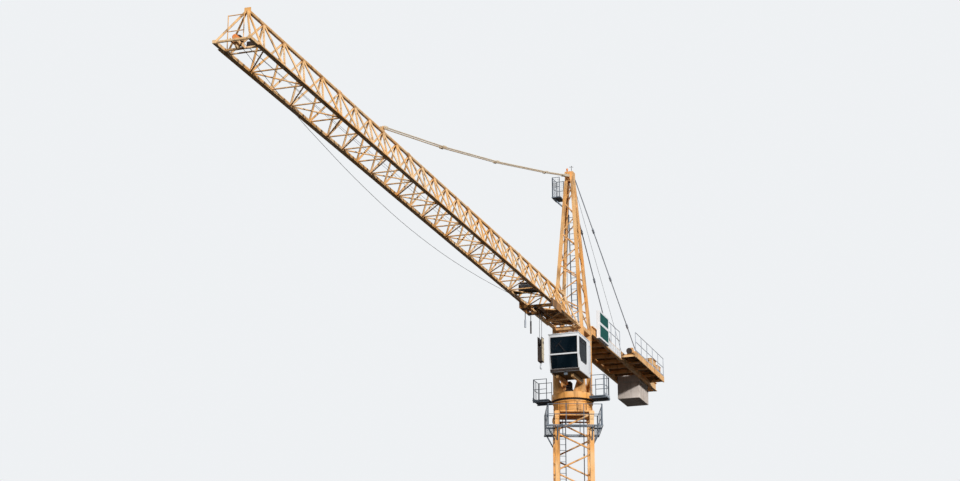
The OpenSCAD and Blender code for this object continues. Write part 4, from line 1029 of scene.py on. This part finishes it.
# Hook block: pale side plates, axle nuts, bolts, the swivel's nut and the hook's latch
hookSetup = {"half": 0.0543, "plate": 0.004, "axleDrop": 0.13, "axleNut": 0.032, "face": 0.058,
             "axleEnd": 0.071, "boltRises": (0.06, 0.2, 0.34), "boltPlaces": (-0.06, 0.06),
             "bolt": (0.010, 0.007), "swivel": 0.030, "latch": 0.005,
             "latchEnds": ((0.02, -0.075), (0.052, -0.115))}


def makeHookDetails(setup):
    low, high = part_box("hook_block")
    axle, face, end = high.z - setup["axleDrop"], setup["face"], setup["axleEnd"]
    plates, fittings = bmesh.new(), bmesh.new()
    for s in (-1, 1):
        y0, y1 = sorted((s * setup["half"], s * (setup["half"] + setup["plate"])))
        slab(plates, (low.x + 0.012, y0, low.z + 0.02), (high.x - 0.012, y1, high.z - 0.02), 0.002)
        tube(fittings, (trolleyX, s * face, axle), (trolleyX, s * end, axle), setup["axleNut"], 6)
        for rise in setup["boltRises"]:
            for place in setup["boltPlaces"]:
                boltHead(fittings, (trolleyX + place, s * face, low.z + rise), (0, s, 0), *setup["bolt"])
    tube(fittings, (trolleyX, 0, low.z - 0.034), (trolleyX, 0, low.z - 0.002), setup["swivel"], 6)
    run(fittings, [(trolleyX + x, 0, low.z + z) for x, z in setup["latchEnds"]], setup["latch"])
    piece("hookSidePlates", plates, "cream_paint", "hook")
    piece("hookFittings", fittings, "dark_steel", "hook")


# Falls between the trolley's sheaves and the block's: two straight runs,
# the turns over the trolley's sheaves and the turn under the block
fallSetup = {"radius": 0.006, "wrap": 0.0963, "wrapTurn": 100, "steps": 10}


def makeFalls(setup):
    low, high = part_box("hoist_falls")
    r, wrap, steps = setup["radius"], setup["wrap"], setup["steps"]
    x0, x1 = low.x + r, high.x - r
    centre, half = (x0 + x1) / 2, (x1 - x0) / 2
    bm = bmesh.new()
    for x, s in ((x0, -1), (x1, 1)):
        tube(bm, (x, 0, high.z), (x, 0, low.z), r)
        turns = [radians(setup["wrapTurn"] * k / steps) for k in range(steps + 1)]
        run(bm, [(x + s * wrap * (1 - cos(a)), 0, high.z + wrap * sin(a)) for a in turns], r)
    under = [pi * k / (2 * steps) for k in range(2 * steps + 1)]
    run(bm, [(centre - half * cos(a), 0, low.z - half * sin(a)) for a in under], r)
    made = piece("hoistFallRopes", bm, "wire_rope", None)
    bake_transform(made)
    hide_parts("hoist_falls")


# Floor inside the foot of the jib, and the beams that carry it
rootFloor = {"start": 0.60, "end": 2.12, "fields": 3, "half": 0.296, "rise": 0.034, "deep": 0.022,
             "gap": 0.006, "pitch": 0.045, "bar": 0.010, "beam": 0.02}


def makeRootFloor(setup):
    bm = bmesh.new()
    half, beam, z = setup["half"], setup["beam"], jibLevel + setup["rise"]
    step = (setup["end"] - setup["start"]) / setup["fields"]
    for i in range(setup["fields"]):
        x = setup["start"] + step * i
        far = (x + step - setup["gap"], half, z + setup["deep"])
        grating(bm, (x, -half, z), far, setup["pitch"], setup["bar"])
        x += step / 2
        slab(bm, (x - beam, -half, z - beam), (x + beam, half, z))
    # The floor's dark greasy ochre is partly grease and partly painted shade, for the floor seen from below
    # in shadow
    piece("jibFootFloor", bm, "greasy_ochre_and_shade")


# Limit switch rods that hang from the trolley, as place and drop, each with a weight
rodSetup = {"pale": (2.98, 0.62), "dark": (2.52, 0.66), "side": -0.335, "radius": 0.010, "plateFoot": 0.165,
            "paleWeight": (0.024, 0.2), "darkWeight": (0.020, 0.32), "bracket": 0.022}


def makeTrolleyRods(setup):
    dark, pale = bmesh.new(), bmesh.new()
    y, wide, foot = setup["side"], setup["bracket"], jibLevel - setup["plateFoot"]
    (paleX, paleDrop), (darkX, darkDrop) = setup["pale"], setup["dark"]
    (paleRadius, paleHigh), (darkRadius, darkHigh) = setup["paleWeight"], setup["darkWeight"]
    end = jibLevel - paleDrop
    run(dark, [(paleX, y, foot + 0.05), (paleX, y, end + paleHigh)], setup["radius"])
    tube(pale, (paleX, y, end + paleHigh), (paleX, y, end), paleRadius, 12)
    end = jibLevel - darkDrop
    run(dark, [(darkX, y, foot + 0.05), (darkX, y, end)], setup["radius"])
    tube(dark, (darkX, y, end + darkHigh), (darkX, y, end), darkRadius, 12)
    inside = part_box("trolley_frame")[0].y + 0.008
    for x in (paleX, darkX):
        slab(dark, (x - wide, inside, foot + 0.006), (x + wide, y + wide, foot + 0.036), 0.003)
    piece("trolleyRods", dark, "dark_steel", "trolley")
    piece("trolleyRodWeight", pale, "galvanised", "trolley")


# Switch cabinets on the walkway beside the winch, each as place, length and height
cabinetSetup = {"cabinets": ((-5.50, 0.44, 0.34), (-6.06, 0.36, 0.28)), "side": (0.58, 0.81), "level": 0.137,
                "foot": 0.03, "lid": 0.014, "lidOut": 0.012, "vents": 5, "ventFrom": 0.07, "ventPitch": 0.022}


def makeCabinets(setup):
    bm, trim = bmesh.new(), bmesh.new()
    y0, y1 = setup["side"]
    out, z = setup["lidOut"], jibLevel + setup["level"]
    bottom = z + setup["foot"]
    for x, length, height in setup["cabinets"]:
        x0, x1, top = x - length / 2, x + length / 2, z + height
        slab(bm, (x0, y0, bottom), (x1, y1, top), 0.008)
        slab(bm, (x0 - out, y0 - out, top), (x1 + out, y1 + out, top + setup["lid"]), 0.004)
        for foot in (x0 + 0.03, x1 - 0.03):
            slab(trim, (foot - 0.015, y0 + 0.02, z), (foot + 0.015, y1 - 0.02, bottom))
        for k in range(setup["vents"]):
            vent = z + setup["ventFrom"] + setup["ventPitch"] * k
            slab(trim, (x0 + 0.05, y1, vent), (x1 - 0.05, y1 + 0.005, vent + 0.009))
        slab(trim, (x - 0.002, y0 - 0.004, z + 0.04), (x + 0.002, y0, top - 0.01))
    piece("switchCabinets", bm, "ochre_paint")
    piece("cabinetVents", trim, "dark_steel")


# Drive at the tip of the jib: an orange motor in a dark ring, a bent cross tube and a switch box
tipSetup = {"x": (20.35, 20.38, 20.39, 20.51), "side": -0.055, "rise": 0.150, "radius": 0.052, "ring": 0.088,
            "bolts": 8, "boltCircle": 0.074, "bracket": 0.05, "bracketFoot": 0.018, "tube": 0.016,
            "bend": [(20.40, 0.02, 0.115), (20.37, 0.09, 0.150), (20.33, 0.17, 0.150), (20.26, 0.31, 0.030)],
            "box": ((20.16, 0.075, 0.045), (20.30, 0.215, 0.125)), "seat": 0.030}


def makeTipDrive(setup):
    level = Vector((0, 0, jibLevel))
    motor, dark, cross = bmesh.new(), bmesh.new(), bmesh.new()
    ringBack, motorBack, ringFront, motorFront = setup["x"]
    y, z, half, radius = setup["side"], jibLevel + setup["rise"], setup["bracket"], setup["radius"]
    tube(motor, (motorBack, y, z), (motorFront, y, z), radius, 28)
    tube(motor, (motorFront, y, z), (motorFront + 0.012, y, z), radius * 0.7, 20)
    tube(dark, (ringBack, y, z), (ringFront, y, z), setup["ring"], 28)
    slab(dark, (ringBack, y - half, jibLevel + setup["bracketFoot"]), (ringFront, y + half, z), 0.003)
    for across, up in circle(setup["boltCircle"], setup["bolts"]):
        boltHead(dark, (ringFront, y + across, z + up), (1, 0, 0), 0.008, 0.007)
    low, high = (Vector(corner) + level for corner in setup["box"])
    slab(dark, low, high, 0.008)
    slab(dark, (low.x + 0.03, 0.045, jibLevel + setup["seat"]), (high.x - 0.03, high.y, low.z), 0.002)
    run(cross, smoothPath([Vector(p) + level for p in setup["bend"]], 4), setup["tube"], 10)
    piece("tipMotor", motor, "orange_paint")
    piece("tipSwitches", dark, "dark_steel")
    piece("tipCrossTube", cross, "faded_ochre")


# Dark strips beside the ribs of the ring support, painted shade for the shadows between the ribs, and the
# hoop between the ribs
ribSetup = {"ribs": 12, "radius": 0.4955, "deep": 0.004, "half": 0.010, "low": 12.965, "high": 13.195,
            "hoop": 0.010, "hoopLevel": 13.085, "hoopFrom": 0.1, "hoopStep": 0.16}


def makeRibShadeStrips(setup):
    shadeStrips, hoop = bmesh.new(), bmesh.new()
    pitch, half = 2 * pi / setup["ribs"], setup["half"]
    inner, outer = setup["radius"] - setup["deep"], setup["radius"] + setup["deep"]
    for i in range(setup["ribs"]):
        for y0, y1 in ((-2 * half, -half), (half, 2 * half)):
            start = len(shadeStrips.verts)
            slab(shadeStrips, (inner, y0, setup["low"]), (outer, y1, setup["high"]))
            turned(shadeStrips, pitch * i, start)
        turns = [pitch * (i + setup["hoopFrom"] + setup["hoopStep"] * k) for k in range(6)]
        run(hoop, [(outer * cos(a), outer * sin(a), setup["hoopLevel"]) for a in turns], setup["hoop"], 6)
    piece("supportRibShadeStrips", shadeStrips, "dark_steel", "tower")
    piece("supportHoop", hoop, "ochre_paint", "tower")


# Motor, gear case and brake on the near end of the walkway
gearSetup = {"near": -3.42, "far": -3.80, "side": 0.64, "radius": 0.085, "level": 0.137, "axle": 0.115,
             "fins": 8, "fin": 0.096, "case": 0.30, "caseHalf": 0.10, "plate": 0.012, "brake": 0.05,
             "coupling": 0.045}


def makeWalkwayMotor(setup):
    body, dark = bmesh.new(), bmesh.new()
    floor, y, radius, half = jibLevel + setup["level"], setup["side"], setup["radius"], setup["caseHalf"]
    near, far, z, caseFoot = setup["near"], setup["far"], floor + setup["axle"], floor + setup["plate"]
    tube(body, (far, y, z), (near, y, z), radius, 28)
    for i in range(setup["fins"]):
        x = far + 0.05 + (near - far - 0.14) * i / (setup["fins"] - 1)
        tube(body, (x - 0.004, y, z), (x + 0.004, y, z), setup["fin"], 28)
    slab(body, (far - 0.04 - setup["case"], y - half, caseFoot), (far - 0.04, y + half, z + 0.10), 0.012)
    slab(body, (far + 0.10, y - 0.05, z + 0.07), (far + 0.22, y + 0.05, z + 0.135), 0.006)
    tube(dark, (near, y, z), (near + setup["brake"], y, z), radius * 0.92, 28)
    tube(dark, (far - setup["coupling"], y, z), (far, y, z), setup["coupling"], 20)
    for x in (far + 0.06, near - 0.08):
        slab(dark, (x - 0.02, y - 0.09, floor), (x + 0.02, y + 0.09, z - 0.05), 0.003)
    half += 0.01
    slab(dark, (far - 0.06 - setup["case"], y - half, floor), (far - 0.02, y + half, caseFoot), 0.002)
    piece("walkwayMotor", body, "ochre_paint")
    piece("walkwayMotorFeet", dark, "dark_steel")


makeRootFloor(rootFloor)
makeTipDrive(tipSetup)
makeRibShadeStrips(ribSetup)
makeWalkwayMotor(gearSetup)
makeTrolleyRods(rodSetup)
makeCabinets(cabinetSetup)
makeSlabs(slabSetup)
makeDrums(drumSetup)
makeMotor(motorSetup)
makeAnchors(anchorSetup)
makeMeshes(meshSetup)
makeToeBoards(toeSetup)
makeJibJoints(jointSetup)
makeCable(cableSetup)
makeHeadLamp(headSetup)
makeStayJoints(stayJoints)
makeHookDetails(hookSetup)
makeFalls(fallSetup)
print("fittings made")
